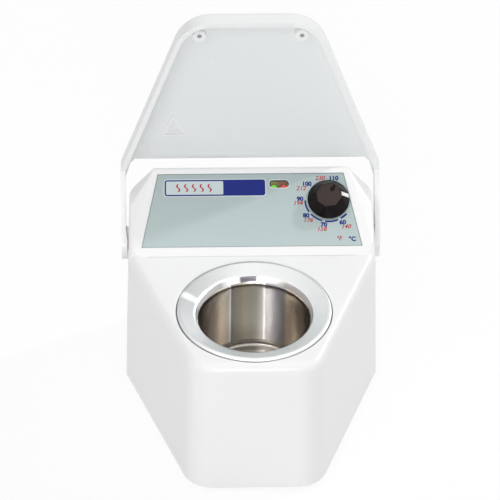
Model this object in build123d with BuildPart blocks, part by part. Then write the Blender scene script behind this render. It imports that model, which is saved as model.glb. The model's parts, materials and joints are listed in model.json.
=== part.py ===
from build123d import *
from math import cos, hypot, radians, sin, sqrt, tan
import os

# Dental lab wax heater: a heated dipping pot in a moulded housing, under a hinged lid.
#
# Frame: millimetres, +Z up, +X to the user's right, +Y to the back. The origin is on the
# table, under the middle of the heater with its lid standing open, as it is drawn here.
# The housing is widest across its knees. In front of them its plan narrows round the pot,
# and behind them the top rises as the sloped control panel. Heights named h stand out of
# the panel, and places on it are given as x across and s up the slope from the fold.

# ---- Housing ----
body_width = 110.0  # across the knees, at the foot of the walls
front_width = 54.2  # sharp corner to sharp corner of the front wall
front_length = 74.3  # knees to front wall
rear_length = 42.0  # knees to rear wall
draft = 1.7  # degrees, lean of every outer wall
wall = 2.5  # moulded wall
foot_height = 1.5  # underside of the housing above the table
deck_height = 67.5  # flat deck round the pot above the table
panel_slope = 27.3  # degrees, control panel above the horizontal
front_corner_r = 13.5
rear_corner_r = 7.0
deck_edge_r = 4.0  # rounding of the deck's outer edge
panel_edge_r = 2.0  # rounding of the edges round the panel
shoulder_tilt = 18.0  # degrees, side shoulders against the panel
shoulder_run_in = 11.0  # how much nearer the middle the panel's edge is at the ridge
ridge_run_in = 1.0  # end of the ridge inside the panel's edge
corner_fall = 50.0  # degrees, rear corner facets below the horizontal
corner_back = 7.0  # degrees, their turn towards the back
boss_r = 4.5  # screw bosses
boss_rise = 24.0  # screw bosses above the base plate
boss_bite = 0.6  # how far a boss runs into the wall beside it

# ---- Screws ----
thread_r = 1.3  # self-tapping thread and its pilot hole
screw_gap = 0.3  # play round a thread, and round a sunk head
screw_head_r = 2.8
screw_head_height = 1.8
screw_length = 12.0
board_screw_length = 5.5

# ---- Base plate and feet ----
base_thickness = 3.0
base_gap = 0.3  # base plate inside the housing wall
vent_length = 20.0
vent_width = 2.4
vent_pitch = 5.5
vent_count = 5
vent_column_pitch = 26.0
foot_r = 6.0
foot_sink = 1.0  # how far a foot is let into the base plate
foot_chamfer = 0.5
front_foot_x = 15.0
front_foot_forward = 54.0  # front feet in front of the knees
rear_foot_x = 38.0
rear_foot_back = 24.0  # rear feet behind the knees

# ---- Wax pot and the parts that heat and hold it ----
pot_forward = 36.4  # pot axis in front of the knees
pot_inner_r = 22.6
pot_depth = 35.5  # mouth of the pot to its floor
pot_wall = 1.5
pot_floor = 3.0
pot_corner_r = 1.5  # rounding at the foot of the pot, inside and out
flange_r = 32.7
flange_thickness = 3.0
flange_proud = 0.9  # top of the rim above the deck
flange_cone = 20.0  # degrees, fall of the flange towards the mouth
flange_root = 2.2  # cone under the flange
rim_width = 1.6  # rim outside the cone
rim_round = 0.9
mouth_r = 5.0  # rounding from the cone into the pot wall
flange_gap = 0.45  # shadow gap round the flange
seat_width = 5.4  # ledge under the flange
seal_thickness = 1.0
seal_width = 3.0
seal_inset = 1.0  # seal inside the flange's edge
heater_thickness = 1.2
heater_height = 20.0
heater_drop = 8.0  # top of the heater below the flange
heater_slot = 9.0  # open side of the band
clamp_thickness = 0.6
clamp_height = 8.0
ear_length = 8.0  # clamp ears beyond the band
ear_hole_reach = 5.4  # clamp screw outside the band
clamp_screw_length = 14.0
sleeve_gap = 0.3
sleeve_thickness = 2.4
sleeve_slot = 18.0  # open side of the insulation
pad_r = 19.0
pad_thickness = 3.0
stud_r = 2.0
stud_length = 12.0
stud_sink = 1.6  # thread of the stud in the pot floor
bridge_width = 13.0
bridge_thickness = 1.6
bridge_post_gap = 0.6  # bridge posts outside the insulation
bridge_back = 9.0  # bridge posts behind the pot axis
washer_r = 4.5
washer_thickness = 0.8
pot_nut_flat = 7.0  # across flats
pot_nut_height = 3.2
sensor_r = 2.2
sensor_length = 12.0
fuse_r = 2.0
fuse_length = 7.2

# ---- Control panel ----
label_front_margin = 4.4  # label inside the shoulder edge, at its lower edge
label_rear_margin = 2.9  # the same at its upper edge
label_start = 4.4  # lower edge of the label up the slope
label_top_margin = 4.9  # label below the ridge
label_sink = 0.5  # depth of its pocket
label_thickness = 0.3
label_gap = 0.1
window_to_knob = 21.2  # lamp window to the knob axis
window_top_margin = 5.0  # lamp window below the label's upper edge
window_length = 8.6
window_width = 3.7
window_sink = 0.3  # face of the window below the label's face
window_thickness = 1.2
window_gap = 0.05
window_ledge = 0.5
lamp_r = 1.5
lamp_height = 4.8
lamp_pitch = 4.4
lamp_low = 0.6  # lamps down the slope from the middle of the window
lamp_flange_r = 1.9
lamp_flange = 0.8
lamp_gap = 0.15  # lamps under the wall
knob_side_margin = 9.6  # knob axis inside the label's side
knob_top_margin = 13.0  # knob axis below the label's upper edge
knob_r = 9.1
knob_top_r = 5.5
knob_height = 6.0
knob_skirt = 1.6  # height of the knob's skirt
knob_lift = 0.4  # running gap under the knob
knob_round = 0.4
knob_roof = 1.3  # material over the end of the shaft
flute_count = 8  # eight places round the knob, one of them the pointer's
flute_r = 5.0
flute_top_depth = 0.8  # flute into the edge of the top
flute_low_depth = 0.35  # flute into the cone where the skirt begins
grip_turn = 56.0  # degrees above +X, grip notch in the top
grip_start = 2.0  # inner end of the notch from the axis
grip_start_r = 0.4
grip_end_r = 1.3
grip_depth = 0.5
pointer_turn = 11.0  # degrees above +X, pointer at its off stop
pointer_width = 1.3
pointer_start = 5.7  # inner end of the pointer from the axis
pointer_depth = 0.6
nut_room_r = 6.4  # hollow of the knob over the panel nut
nut_room_height = 2.6
shaft_r = 3.0
shaft_gap = 0.05
shaft_flat = 0.6
shaft_end_gap = 0.3
shaft_in_body = 4.0  # shaft inside the potentiometer body
bushing_r = 3.5
bushing_length = 5.2
panel_nut_flat = 10.0
panel_nut_height = 1.6
potentiometer_r = 8.5
potentiometer_height = 6.5

# ---- Control board ----
board_thickness = 1.6
board_half = 41.0
board_start = 8.0  # lower edge of the board up the slope
board_rear_gap = 0.5  # upper edge of the board in front of the rear wall
post_r = 3.0
post_inset = 4.0  # board posts inside the board's edges
relay_x = 24.0
relay_length = 19.0
relay_width = 10.0
relay_height = 15.0
capacitor_x = 2.0
capacitor_length = 17.0
capacitor_width = 8.0
capacitor_height = 14.0
terminal_x = -28.0
terminal_length = 15.0
terminal_width = 9.0
terminal_height = 11.0
terminal_way_r = 1.6
terminal_ways = 3
component_chamfer = 0.6
glass_fuse_x = -16.0
glass_fuse_r = 2.6
glass_fuse_length = 20.0
glass_fuse_clip = 3.4  # width of each fuse clip
glass_fuse_height = 3.4  # axis of the fuse off the board

# ---- Cord entry ----
entry_x = -30.0
entry_z = 18.0
entry_r = 5.0  # body of the bush through the wall
entry_gap = 0.15
entry_bore_r = 3.1
entry_flange_r = 7.5
entry_flange = 2.2
entry_round = 0.7
entry_length = 12.0
entry_nut_flat = 14.0
entry_nut_height = 3.2

# ---- Lid and hinge ----
lid_gap = 1.45  # skirt of the lid outside the housing, at deck height
lid_wall = 2.0
lid_skirt = 9.5  # depth of the hood
lid_edge_r = 2.0
lid_inner_r = 3.0
lid_back_gap = 0.5  # rear edge of the lid's top in front of the knees
lid_back_bevel = 1.3  # bevel under that edge, clear of the knob
lid_post_height = 3.8  # posts that meet the deck when the lid is shut
lid_rest_gap = 0.2
lid_post_r = 2.8
lid_post_bore_r = 1.0
lid_post_x = 21.9
lid_post_back = 8.6  # posts behind the front of the lid
gusset_width = 2.4
gusset_length = 8.0
pivot_back = 29.7  # hinge axis behind the knees
pivot_height = 52.0
lid_open_angle = 92.6  # degrees from shut to standing open
arm_end_r = 7.2
pad_height = 0.6  # raised pad round each hinge stud
pin_r = 3.0
pin_gap = 0.06
pin_length = 9.5
bush_r = 5.0
bush_length = 6.0
bush_flange_r = 7.0
bush_flange = 1.6
bush_gap = 0.1
bush_tail = 1.0  # bush beyond the boss that it sits in
stop_radius = 5.0  # stop nib from the hinge axis
stop_nib_r = 0.8
stop_nib_length = 1.1
stop_gap = 0.1
stop_floor = 0.4  # bush flange left under the stop slot
clip_r = 5.4
clip_thickness = 0.8
clip_gap = 0.2

# ---- Heights, planes and places that follow ----
slope = radians(panel_slope)
lean_in = tan(radians(draft))
base_top = foot_height + base_thickness
screw_seat = foot_height + screw_head_height + screw_gap / 2
lid_offset = lid_gap + lid_wall - (deck_height - foot_height) * lean_in
lid_top = deck_height + lid_rest_gap + lid_post_height + lid_wall
skirt_low = lid_top - lid_skirt
lean_back = radians(lid_open_angle - 90)
lid_reach = pivot_back + front_length + lid_offset
lid_back = (
    pivot_back + lid_reach * sin(lean_back) + (lid_top - pivot_height) * cos(lean_back)
)
knee_y = (front_length - lid_back) / 2
front_y = knee_y - front_length
rear_y = knee_y + rear_length
pot_y = knee_y - pot_forward
pot_axis = Axis((0, pot_y, 0), (0, 0, 1))
pivot_y = knee_y + pivot_back
hinge_axis = Axis((0, pivot_y, pivot_height), (1, 0, 0))


def half_width(z):
    """Half width of the housing behind the knees, at height z."""
    return body_width / 2 - (z - foot_height) * lean_in


def rear_wall(z):
    """Y of the outer face of the rear wall at height z."""
    return rear_y - (z - foot_height) * lean_in


def knee_line(z):
    """Y of the sharp knee at height z, where both walls beside it lean in."""
    run = (body_width - front_width) / 2
    slant = hypot(run, front_length)
    return knee_y + (z - foot_height) * lean_in * (slant - front_length) / run


deck_half = half_width(deck_height)
shoulder_rear_half = deck_half - shoulder_run_in
ridge_half = shoulder_rear_half - ridge_run_in
fold_y = knee_line(deck_height)
ridge_y = (rear_wall(deck_height) + fold_y * tan(slope) * lean_in) / (
    1 + tan(slope) * lean_in
)
ridge_z = deck_height + (ridge_y - fold_y) * tan(slope)
ridge_s = (ridge_y - fold_y) / cos(slope)
panel_plane = Plane(
    origin=(0, fold_y, deck_height), x_dir=(1, 0, 0), z_dir=(0, -sin(slope), cos(slope))
)


def on_panel(x, s, h=0.0):
    """The point x across the panel, s up its slope and h out of it."""
    return panel_plane.from_local_coords((x, s, h))


def panel_level(h, x=0.0, s=0.0):
    """A plane parallel to the panel at height h, with its origin at x and s."""
    return Plane(
        origin=on_panel(x, s, h), x_dir=panel_plane.x_dir, z_dir=panel_plane.z_dir
    )


def rear_limit(h):
    """How far up the slope a part at height h may reach before the rear wall."""
    inner = rear_y - wall / cos(radians(draft)) - board_rear_gap - fold_y
    level = deck_height + h * cos(slope) - foot_height
    return (inner + h * sin(slope) - level * lean_in) / (
        cos(slope) + lean_in * sin(slope)
    )


def label_half(s):
    """Half width of the label at s, between margins that narrow up the slope."""
    panel_half = deck_half + (shoulder_rear_half - deck_half) * s / ridge_s
    rise = (s - label_start) / (label_end - label_start)
    margin = label_front_margin + (label_rear_margin - label_front_margin) * rise
    return panel_half - margin


label_end = ridge_s - label_top_margin
label_plane = panel_level(-label_sink)
label_corners = [
    (-label_half(label_start), label_start),
    (label_half(label_start), label_start),
    (label_half(label_end), label_end),
    (-label_half(label_end), label_end),
]
knob_s = label_end - knob_top_margin
knob_x = label_half(knob_s) - knob_side_margin
knob_plane = panel_level(0, knob_x, knob_s)
window_s = label_end - window_top_margin
window_x = knob_x - window_to_knob
window_top = -label_sink + label_thickness - window_sink
lamp_tip = -wall - lamp_gap
lamp_places = [
    (window_x - lamp_pitch / 2, window_s - lamp_low),
    (window_x + lamp_pitch / 2, window_s - lamp_low),
]
board_top = -wall - potentiometer_height - shaft_gap
board_under = board_top - board_thickness
board_end = rear_limit(board_under)
board_posts = [
    (post_inset - board_half, board_end - post_inset),
    (post_inset - board_half, board_start + post_inset),
    (0, board_start + post_inset),
]
deepest = board_under - max(relay_height, capacitor_height, terminal_height)
widest = max(relay_width, capacitor_width, terminal_width)
row_s = rear_limit(deepest) - widest / 2

inner_corner_x = front_width / 2 - front_corner_r + wall
wall_to_boss = wall + boss_r - boss_bite
boss_places = [
    (-inner_corner_x, front_y + wall_to_boss),
    (inner_corner_x, front_y + wall_to_boss),
    (wall_to_boss - body_width / 2, rear_y - wall_to_boss),
    (body_width / 2 - wall_to_boss, rear_y - wall_to_boss),
]
foot_places = [
    (-front_foot_x, knee_y - front_foot_forward),
    (front_foot_x, knee_y - front_foot_forward),
    (-rear_foot_x, knee_y + rear_foot_back),
    (rear_foot_x, knee_y + rear_foot_back),
]

rim_top = deck_height + flange_proud
flange_under = rim_top - flange_thickness
seat_top = flange_under - seal_thickness
seat_bore_r = flange_r - seat_width
well_r = flange_r + flange_gap
cone_r = flange_r - rim_width
mouth_z = rim_top - (cone_r - pot_inner_r) * tan(radians(flange_cone))
floor_z = mouth_z - pot_depth
pot_bottom = floor_z - pot_floor
pot_outer_r = pot_inner_r + pot_wall
heater_r = pot_outer_r + heater_thickness
heater_top = flange_under - heater_drop
heater_low = heater_top - heater_height
clamp_r = heater_r + clamp_thickness
clamp_mid = (heater_top + heater_low) / 2
ear_x = (heater_slot + clamp_thickness) / 2
ear_face = ear_x + clamp_thickness / 2
ear_hole_y = pot_y + heater_r + ear_hole_reach
sleeve_inner_r = clamp_r + sleeve_gap
sleeve_r = sleeve_inner_r + sleeve_thickness
bridge_top = pot_bottom - pad_thickness
bridge_under = bridge_top - bridge_thickness
bridge_y = pot_y + bridge_back
bridge_half = sqrt((sleeve_r + boss_r + bridge_post_gap) ** 2 - bridge_back**2)
bridge_places = [(-bridge_half, bridge_y), (bridge_half, bridge_y)]

pivot_half = half_width(pivot_height)
arm_inner = body_width / 2 + lid_offset - lid_wall
pad_face = arm_inner - pad_height
bush_end = pivot_half - bush_length
entry_plane = Plane(
    origin=(entry_x, rear_wall(entry_z), entry_z),
    x_dir=(-1, 0, 0),
    z_dir=(0, 1, lean_in),
)

pieces = {}


def finish(name, piece):
    """Label a finished piece and keep it for the end of the script."""
    piece.part.label = name
    pieces[name] = piece.part


def plan_line():
    """The housing's plan at the foot of its walls, with sharp corners."""
    return Polyline(
        (front_width / 2, front_y),
        (body_width / 2, knee_y),
        (body_width / 2, rear_y),
        (-body_width / 2, rear_y),
        (-body_width / 2, knee_y),
        (-front_width / 2, front_y),
        close=True,
    )


def ring(inner, outer, low, high):
    """A plain ring about the pot's axis, or a disc where its inner radius is 0."""
    with BuildPart() as piece:
        with BuildSketch(Plane.XY.offset(low)):
            with Locations((0, pot_y)):
                Circle(outer)
                if inner:
                    Circle(inner, mode=Mode.SUBTRACT)
        extrude(amount=high - low)
    return piece


def open_ring(inner, outer, low, high, slot):
    """A ring round the pot, open at the back by the width of a slot."""
    with BuildPart() as piece:
        with BuildSketch(Plane.XY.offset(low)):
            with Locations((0, pot_y)):
                Circle(outer)
                Circle(inner, mode=Mode.SUBTRACT)
                Rectangle(
                    slot,
                    2 * outer,
                    align=(Align.CENTER, Align.MIN),
                    mode=Mode.SUBTRACT,
                )
        extrude(amount=high - low)
    return piece


def pan_screws(seats, direction, length):
    """Self-tapping screws with cross-recessed heads, driven along a direction."""
    with BuildPart() as screws:
        for seat in seats:
            level = Plane(origin=seat, z_dir=direction)
            with BuildSketch(level):
                Circle(thread_r)
            extrude(amount=length)
            with BuildSketch(level):
                Circle(screw_head_r)
            extrude(amount=-screw_head_height)
            with BuildSketch(level.offset(-screw_head_height)):
                Rectangle(screw_head_r, screw_head_r / 5)
                Rectangle(screw_head_r / 5, screw_head_r)
            extrude(amount=screw_head_height / 2, mode=Mode.SUBTRACT)
    return screws


# ---- Housing ----
# A moulding open below: two drafted blocks joined at the fold, the flat deck in front and
# behind it the wedge that carries the panel, with its shoulders and rear corner facets.
def walls_form(inset, top):
    """The drafted walls up to a height, with every face moved inwards by inset."""
    with BuildPart() as form:
        with BuildSketch(Plane.XY.offset(foot_height)) as plan:
            with BuildLine():
                plan_line()
            make_face()
            if inset:
                offset(amount=-inset, kind=Kind.INTERSECTION)
            fillet(plan.vertices().group_by(Axis.Y)[0], front_corner_r - inset)
            fillet(plan.vertices().group_by(Axis.Y)[-1], rear_corner_r - inset)
        extrude(amount=top - foot_height, taper=draft)
    return form


def shoulder_plane(side):
    """The shoulder falls away sideways from the line between knee and ridge."""
    low = Vector(side * deck_half, fold_y, deck_height)
    high = Vector(side * shoulder_rear_half, ridge_y, ridge_z)
    edge = (high - low).normalized()
    normal = panel_plane.z_dir.rotate(Axis((0, 0, 0), edge), side * shoulder_tilt)
    return Plane(origin=low, x_dir=edge, z_dir=normal)


def corner_plane(side):
    """The facet that takes off a rear top corner."""
    fall = radians(corner_fall)
    back = radians(corner_back)
    normal = (side * sin(fall) * cos(back), sin(back), cos(fall) * cos(back))
    return Plane(origin=(side * ridge_half, ridge_y, ridge_z), z_dir=normal)


def housing_form(inset):
    """The closed body of the housing, or with an inset the room inside its walls."""
    with BuildPart() as deck_block:
        add(walls_form(inset, deck_height - inset).part)
        if deck_edge_r > inset:
            fillet(deck_block.faces().sort_by(Axis.Z)[-1].edges(), deck_edge_r - inset)
    with BuildPart() as panel_block:
        add(walls_form(inset, ridge_z + wall).part)
        split(bisect_by=Plane.XZ.offset(-fold_y), keep=Keep.BOTTOM)
        split(bisect_by=panel_plane.offset(-inset), keep=Keep.BOTTOM)
        for side in (1, -1):
            split(bisect_by=shoulder_plane(side).offset(-inset), keep=Keep.BOTTOM)
            split(bisect_by=corner_plane(side).offset(-inset), keep=Keep.BOTTOM)
        if panel_edge_r > inset:
            high_edges = panel_block.edges().filter_by(
                lambda edge: min((edge @ 0).Z, (edge @ 1).Z) > deck_height - wall
                and (edge @ 0.5).Y > fold_y + panel_edge_r / 2
            )
            fillet(high_edges, panel_edge_r - inset)
    with BuildPart() as form:
        add(deck_block.part)
        add(panel_block.part)
    return form


with BuildPart() as housing:
    add(housing_form(0).part)
    add(housing_form(wall).part, mode=Mode.SUBTRACT)
    # Bosses for the base screws, posts for the pot bridge and posts for the board.
    with BuildSketch(Plane.XY.offset(base_top)):
        with Locations(*boss_places):
            Circle(boss_r)
    extrude(amount=boss_rise)
    with BuildSketch(Plane.XY.offset(bridge_top)):
        with Locations(*bridge_places):
            Circle(boss_r)
    extrude(amount=deck_height - wall / 2 - bridge_top)
    with BuildSketch(panel_level(board_top)):
        with Locations(*board_posts):
            Circle(post_r)
    extrude(amount=-board_top - wall / 2)
    # Bosses inside the side walls for the hinge bushes.
    for side in (1, -1):
        with BuildSketch(Plane.YZ.offset(side * (bush_end + bush_tail))):
            with Locations((pivot_y, pivot_height)):
                Circle(bush_r + wall)
        extrude(amount=side * (bush_length - bush_tail - wall / 2))
    # Well round the pot: a sleeve under the deck with a ledge for the seal.
    add(ring(0, well_r + wall, seat_top - wall, deck_height - wall / 2).part)
    # What stands proud of the outside is trimmed, and then come the holes.
    add(housing_form(0).part, mode=Mode.INTERSECT)
    add(ring(0, well_r, seat_top, ridge_z).part, mode=Mode.SUBTRACT)
    add(ring(0, seat_bore_r, seat_top - wall, seat_top).part, mode=Mode.SUBTRACT)
    with BuildSketch(Plane.XY.offset(base_top)):
        with Locations(*boss_places):
            Circle(thread_r)
    extrude(amount=screw_length, mode=Mode.SUBTRACT)
    with BuildSketch(Plane.XY.offset(bridge_top)):
        with Locations(*bridge_places):
            Circle(thread_r)
    extrude(amount=screw_length, mode=Mode.SUBTRACT)
    with BuildSketch(panel_level(board_top)):
        with Locations(*board_posts):
            Circle(thread_r)
    extrude(amount=board_screw_length, mode=Mode.SUBTRACT)
    # Pocket of the label, stepped lamp window and the potentiometer's hole.
    with BuildSketch(label_plane):
        with BuildLine():
            Polyline(*label_corners, close=True)
        make_face()
        offset(amount=label_gap, kind=Kind.INTERSECTION)
    extrude(amount=wall, mode=Mode.SUBTRACT)
    with BuildSketch(panel_level(window_top - window_thickness)):
        with Locations((window_x, window_s)):
            SlotOverall(window_length, window_width)
    extrude(amount=wall, mode=Mode.SUBTRACT)
    with BuildSketch(panel_level(-2 * wall)):
        with Locations((window_x, window_s)):
            SlotOverall(window_length - 2 * window_ledge, window_width - 2 * window_ledge)
        with Locations((knob_x, knob_s)):
            Circle(bushing_r + shaft_gap)
    extrude(amount=2 * wall, mode=Mode.SUBTRACT)
    # Seats and bores of the hinge bushes, and the hole of the cord bush.
    for side in (1, -1):
        with BuildSketch(Plane.YZ.offset(side * (pivot_half - bush_flange))):
            with Locations((pivot_y, pivot_height)):
                Circle(bush_flange_r + bush_gap)
        extrude(amount=side * wall, mode=Mode.SUBTRACT)
        with BuildSketch(Plane.YZ.offset(side * bush_end)):
            with Locations((pivot_y, pivot_height)):
                Circle(bush_r + bush_gap)
        extrude(amount=side * bush_length, mode=Mode.SUBTRACT)
    with BuildSketch(entry_plane):
        Circle(entry_r + entry_gap)
    extrude(amount=2 * wall, both=True, mode=Mode.SUBTRACT)
finish("housing", housing)

# ---- Base plate and feet ----
with BuildPart() as base_plate:
    add(walls_form(wall + base_gap, base_top).part)
    with BuildSketch(Plane.XY.offset(foot_height)):
        with Locations(*foot_places):
            Circle(foot_r + base_gap)
    extrude(amount=foot_sink, mode=Mode.SUBTRACT)
    with BuildSketch(Plane.XY.offset(foot_height)):
        with Locations(*boss_places):
            Circle(thread_r + screw_gap)
        with Locations((0, knee_y + (rear_foot_back - front_foot_forward) / 2)):
            with GridLocations(vent_column_pitch, vent_pitch, 2, vent_count):
                SlotOverall(vent_length, vent_width)
    extrude(amount=base_thickness, mode=Mode.SUBTRACT)
    with BuildSketch(Plane.XY.offset(foot_height)):
        with Locations(*boss_places):
            Circle(screw_head_r + screw_gap)
    extrude(amount=screw_seat - foot_height, mode=Mode.SUBTRACT)
finish("base_plate", base_plate)

with BuildPart() as rubber_feet:
    with BuildSketch():
        with Locations(*foot_places):
            Circle(foot_r)
    extrude(amount=foot_height + foot_sink)
    chamfer(rubber_feet.edges().group_by(Axis.Z)[0], foot_chamfer)
finish("rubber_feet", rubber_feet)

base_screws = pan_screws([(x, y, screw_seat) for x, y in boss_places], (0, 0, 1), screw_length)
finish("base_screws", base_screws)

# ---- Wax pot ----
# Cup and conical flange turned from one piece of aluminium, with a blind thread below.
with BuildPart() as wax_pot:
    with BuildSketch(Plane.XZ.offset(-pot_y)) as pot_section:
        with BuildLine():
            Polyline(
                (0, pot_bottom),
                (pot_outer_r, pot_bottom),
                (pot_outer_r, flange_under - flange_root),
                (pot_outer_r + flange_root, flange_under),
                (flange_r, flange_under),
                (flange_r, rim_top),
                (cone_r, rim_top),
                (pot_inner_r, mouth_z),
                (pot_inner_r, floor_z),
                (0, floor_z),
                close=True,
            )
        make_face()
        for place, radius in (
            ((flange_r, rim_top), rim_round),
            ((pot_inner_r, mouth_z), mouth_r),
            ((pot_inner_r, floor_z), pot_corner_r),
            ((pot_outer_r, pot_bottom), pot_corner_r),
        ):
            fillet(pot_section.vertices().sort_by_distance(place)[0], radius)
    revolve(axis=pot_axis)
    with BuildSketch(Plane.XY.offset(pot_bottom)):
        with Locations((0, pot_y)):
            Circle(stud_r)
    extrude(amount=stud_sink, mode=Mode.SUBTRACT)
finish("wax_pot", wax_pot)

seal_r = flange_r - seal_inset
finish("pot_seal", ring(seal_r - seal_width, seal_r, seat_top, flange_under))

# ---- Band heater, clamp and insulation ----
heater_band = open_ring(pot_outer_r, heater_r, heater_low, heater_top, heater_slot)
finish("heater_band", heater_band)

clamp_low = clamp_mid - clamp_height / 2
clamp_high = clamp_mid + clamp_height / 2
with BuildPart() as heater_clamp:
    add(open_ring(heater_r, clamp_r, clamp_low, clamp_high, heater_slot).part)
    with BuildSketch(Plane.XY.offset(clamp_low)):
        with Locations((-ear_x, pot_y + heater_r), (ear_x, pot_y + heater_r)):
            Rectangle(clamp_thickness, ear_length, align=(Align.CENTER, Align.MIN))
    extrude(amount=clamp_height)
    with BuildSketch(Plane.YZ.offset(-heater_slot)):
        with Locations((ear_hole_y, clamp_mid)):
            Circle(thread_r + screw_gap)
    extrude(amount=2 * heater_slot, mode=Mode.SUBTRACT)
finish("heater_clamp", heater_clamp)

clamp_seats = [(-ear_face, ear_hole_y, clamp_mid)]
finish("clamp_screw", pan_screws(clamp_seats, (1, 0, 0), clamp_screw_length))

with BuildPart() as clamp_nut:
    with BuildSketch(Plane.YZ.offset(ear_face)):
        with Locations((ear_hole_y, clamp_mid)):
            RegularPolygon(screw_head_r, 6)
            Circle(thread_r, mode=Mode.SUBTRACT)
    extrude(amount=screw_head_height)
finish("clamp_nut", clamp_nut)

insulation_sleeve = open_ring(sleeve_inner_r, sleeve_r, heater_low, heater_top, sleeve_slot)
finish("insulation_sleeve", insulation_sleeve)
floor_pad = ring(stud_r + screw_gap, pad_r, bridge_top, pot_bottom)
finish("floor_pad", floor_pad)

# ---- Bridge that draws the pot down on its seal ----
with BuildPart() as pot_bridge:
    with BuildSketch(Plane.XY.offset(bridge_under)):
        with Locations((0, bridge_y)):
            SlotOverall(2 * bridge_half + bridge_width, bridge_width)
        with Locations((0, pot_y)):
            Circle(bridge_width / 2)
            Circle(stud_r + screw_gap, mode=Mode.SUBTRACT)
        with Locations(*bridge_places):
            Circle(thread_r + screw_gap, mode=Mode.SUBTRACT)
    extrude(amount=bridge_thickness)
finish("pot_bridge", pot_bridge)

bridge_seats = [(x, y, bridge_under) for x, y in bridge_places]
finish("bridge_screws", pan_screws(bridge_seats, (0, 0, 1), screw_length))

stud_top = pot_bottom + stud_sink
washer_under = bridge_under - washer_thickness
finish("pot_stud", ring(0, stud_r, stud_top - stud_length, stud_top))
finish("pot_washer", ring(stud_r, washer_r, washer_under, bridge_under))

with BuildPart() as pot_nut:
    with BuildSketch(Plane.XY.offset(washer_under)):
        with Locations((0, pot_y)):
            RegularPolygon(pot_nut_flat / 2, 6, major_radius=False)
            Circle(stud_r, mode=Mode.SUBTRACT)
    extrude(amount=-pot_nut_height)
finish("pot_nut", pot_nut)

# ---- Temperature sensor and thermal fuse, against the pot in the band's open side ----
with BuildPart() as temperature_sensor:
    with BuildSketch(Plane.XY.offset(heater_top - sensor_length)):
        with Locations((0, pot_y + pot_outer_r + sensor_r)):
            Circle(sensor_r)
    extrude(amount=sensor_length)
    fillet(temperature_sensor.edges().group_by(Axis.Z)[0], sensor_r / 2)
finish("temperature_sensor", temperature_sensor)

with BuildPart() as thermal_fuse:
    with BuildSketch(Plane.XY.offset(heater_low)):
        with Locations((0, pot_y + pot_outer_r + fuse_r)):
            Circle(fuse_r)
    extrude(amount=fuse_length)
finish("thermal_fuse", thermal_fuse)

# ---- Printed label and lamp window ----
with BuildPart() as panel_label:
    with BuildSketch(label_plane):
        with BuildLine():
            Polyline(*label_corners, close=True)
        make_face()
        with Locations((window_x, window_s)):
            SlotOverall(window_length, window_width, mode=Mode.SUBTRACT)
        with Locations((knob_x, knob_s)):
            Circle(nut_room_r, mode=Mode.SUBTRACT)
    extrude(amount=label_thickness)
finish("panel_label", panel_label)

with BuildPart() as lamp_window:
    with BuildSketch(panel_level(window_top)):
        with Locations((window_x, window_s)):
            SlotOverall(window_length - 2 * window_gap, window_width - 2 * window_gap)
    extrude(amount=-window_thickness)
finish("lamp_window", lamp_window)


# ---- Signal lamps on their spacer ----
def signal_lamp(x, s):
    """A round-nosed lamp with a flange at its foot, up against the window."""
    foot = panel_level(lamp_tip - lamp_height, x, s)
    straight = lamp_height - lamp_r
    with BuildPart() as lamp:
        with BuildSketch(Plane(foot.origin, x_dir=foot.z_dir, z_dir=foot.x_dir)):
            with BuildLine():
                Polyline(
                    (straight, lamp_r),
                    (lamp_flange, lamp_r),
                    (lamp_flange, lamp_flange_r),
                    (0, lamp_flange_r),
                    (0, 0),
                    (lamp_height, 0),
                )
                CenterArc((straight, 0), lamp_r, 0, 90)
            make_face()
        revolve(axis=Axis(foot.origin, foot.z_dir))
    return lamp


finish("green_lamp", signal_lamp(*lamp_places[0]))
finish("red_lamp", signal_lamp(*lamp_places[1]))

with BuildPart() as lamp_spacer:
    with BuildSketch(panel_level(board_top)):
        with Locations((window_x, window_s - lamp_low)):
            SlotOverall(lamp_pitch + 2 * lamp_flange_r, 2 * lamp_flange_r)
    extrude(amount=lamp_tip - lamp_height - board_top)
finish("lamp_spacer", lamp_spacer)

# ---- Potentiometer, its nut and its shaft ----
with BuildPart() as potentiometer:
    with BuildSketch(knob_plane.offset(-wall)):
        Circle(potentiometer_r)
    extrude(amount=-potentiometer_height)
    with BuildSketch(knob_plane.offset(-wall)):
        Circle(bushing_r)
    extrude(amount=bushing_length)
    with BuildSketch(knob_plane.offset(-wall - shaft_in_body - shaft_end_gap)):
        Circle(shaft_r + shaft_gap)
    extrude(amount=potentiometer_height + bushing_length, mode=Mode.SUBTRACT)
finish("potentiometer", potentiometer)

with BuildPart() as panel_nut:
    with BuildSketch(knob_plane.offset(-label_sink)):
        RegularPolygon(panel_nut_flat / 2, 6, major_radius=False)
        Circle(bushing_r, mode=Mode.SUBTRACT)
    extrude(amount=panel_nut_height)
finish("panel_nut", panel_nut)

knob_top = knob_lift + knob_height
skirt_top = knob_lift + knob_skirt
room_top = knob_lift + nut_room_height
shaft_top = knob_top - knob_roof
with BuildPart() as knob_shaft:
    with BuildSketch(knob_plane.offset(-wall - shaft_in_body)):
        Circle(shaft_r)
    extrude(amount=wall + shaft_in_body + shaft_top)
    with BuildSketch(knob_plane.offset(room_top)):
        with Locations((-shaft_r, 0)):
            Rectangle(2 * shaft_flat, 2 * shaft_r)
    extrude(amount=shaft_top, mode=Mode.SUBTRACT)
finish("knob_shaft", knob_shaft)

# ---- Knob ----
# A cone on a skirt, hollow over the panel nut, fluted all round except under the pointer.
# The flutes are deepest at the top, which makes it eight-sided. A notch in the top gives grip.


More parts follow.
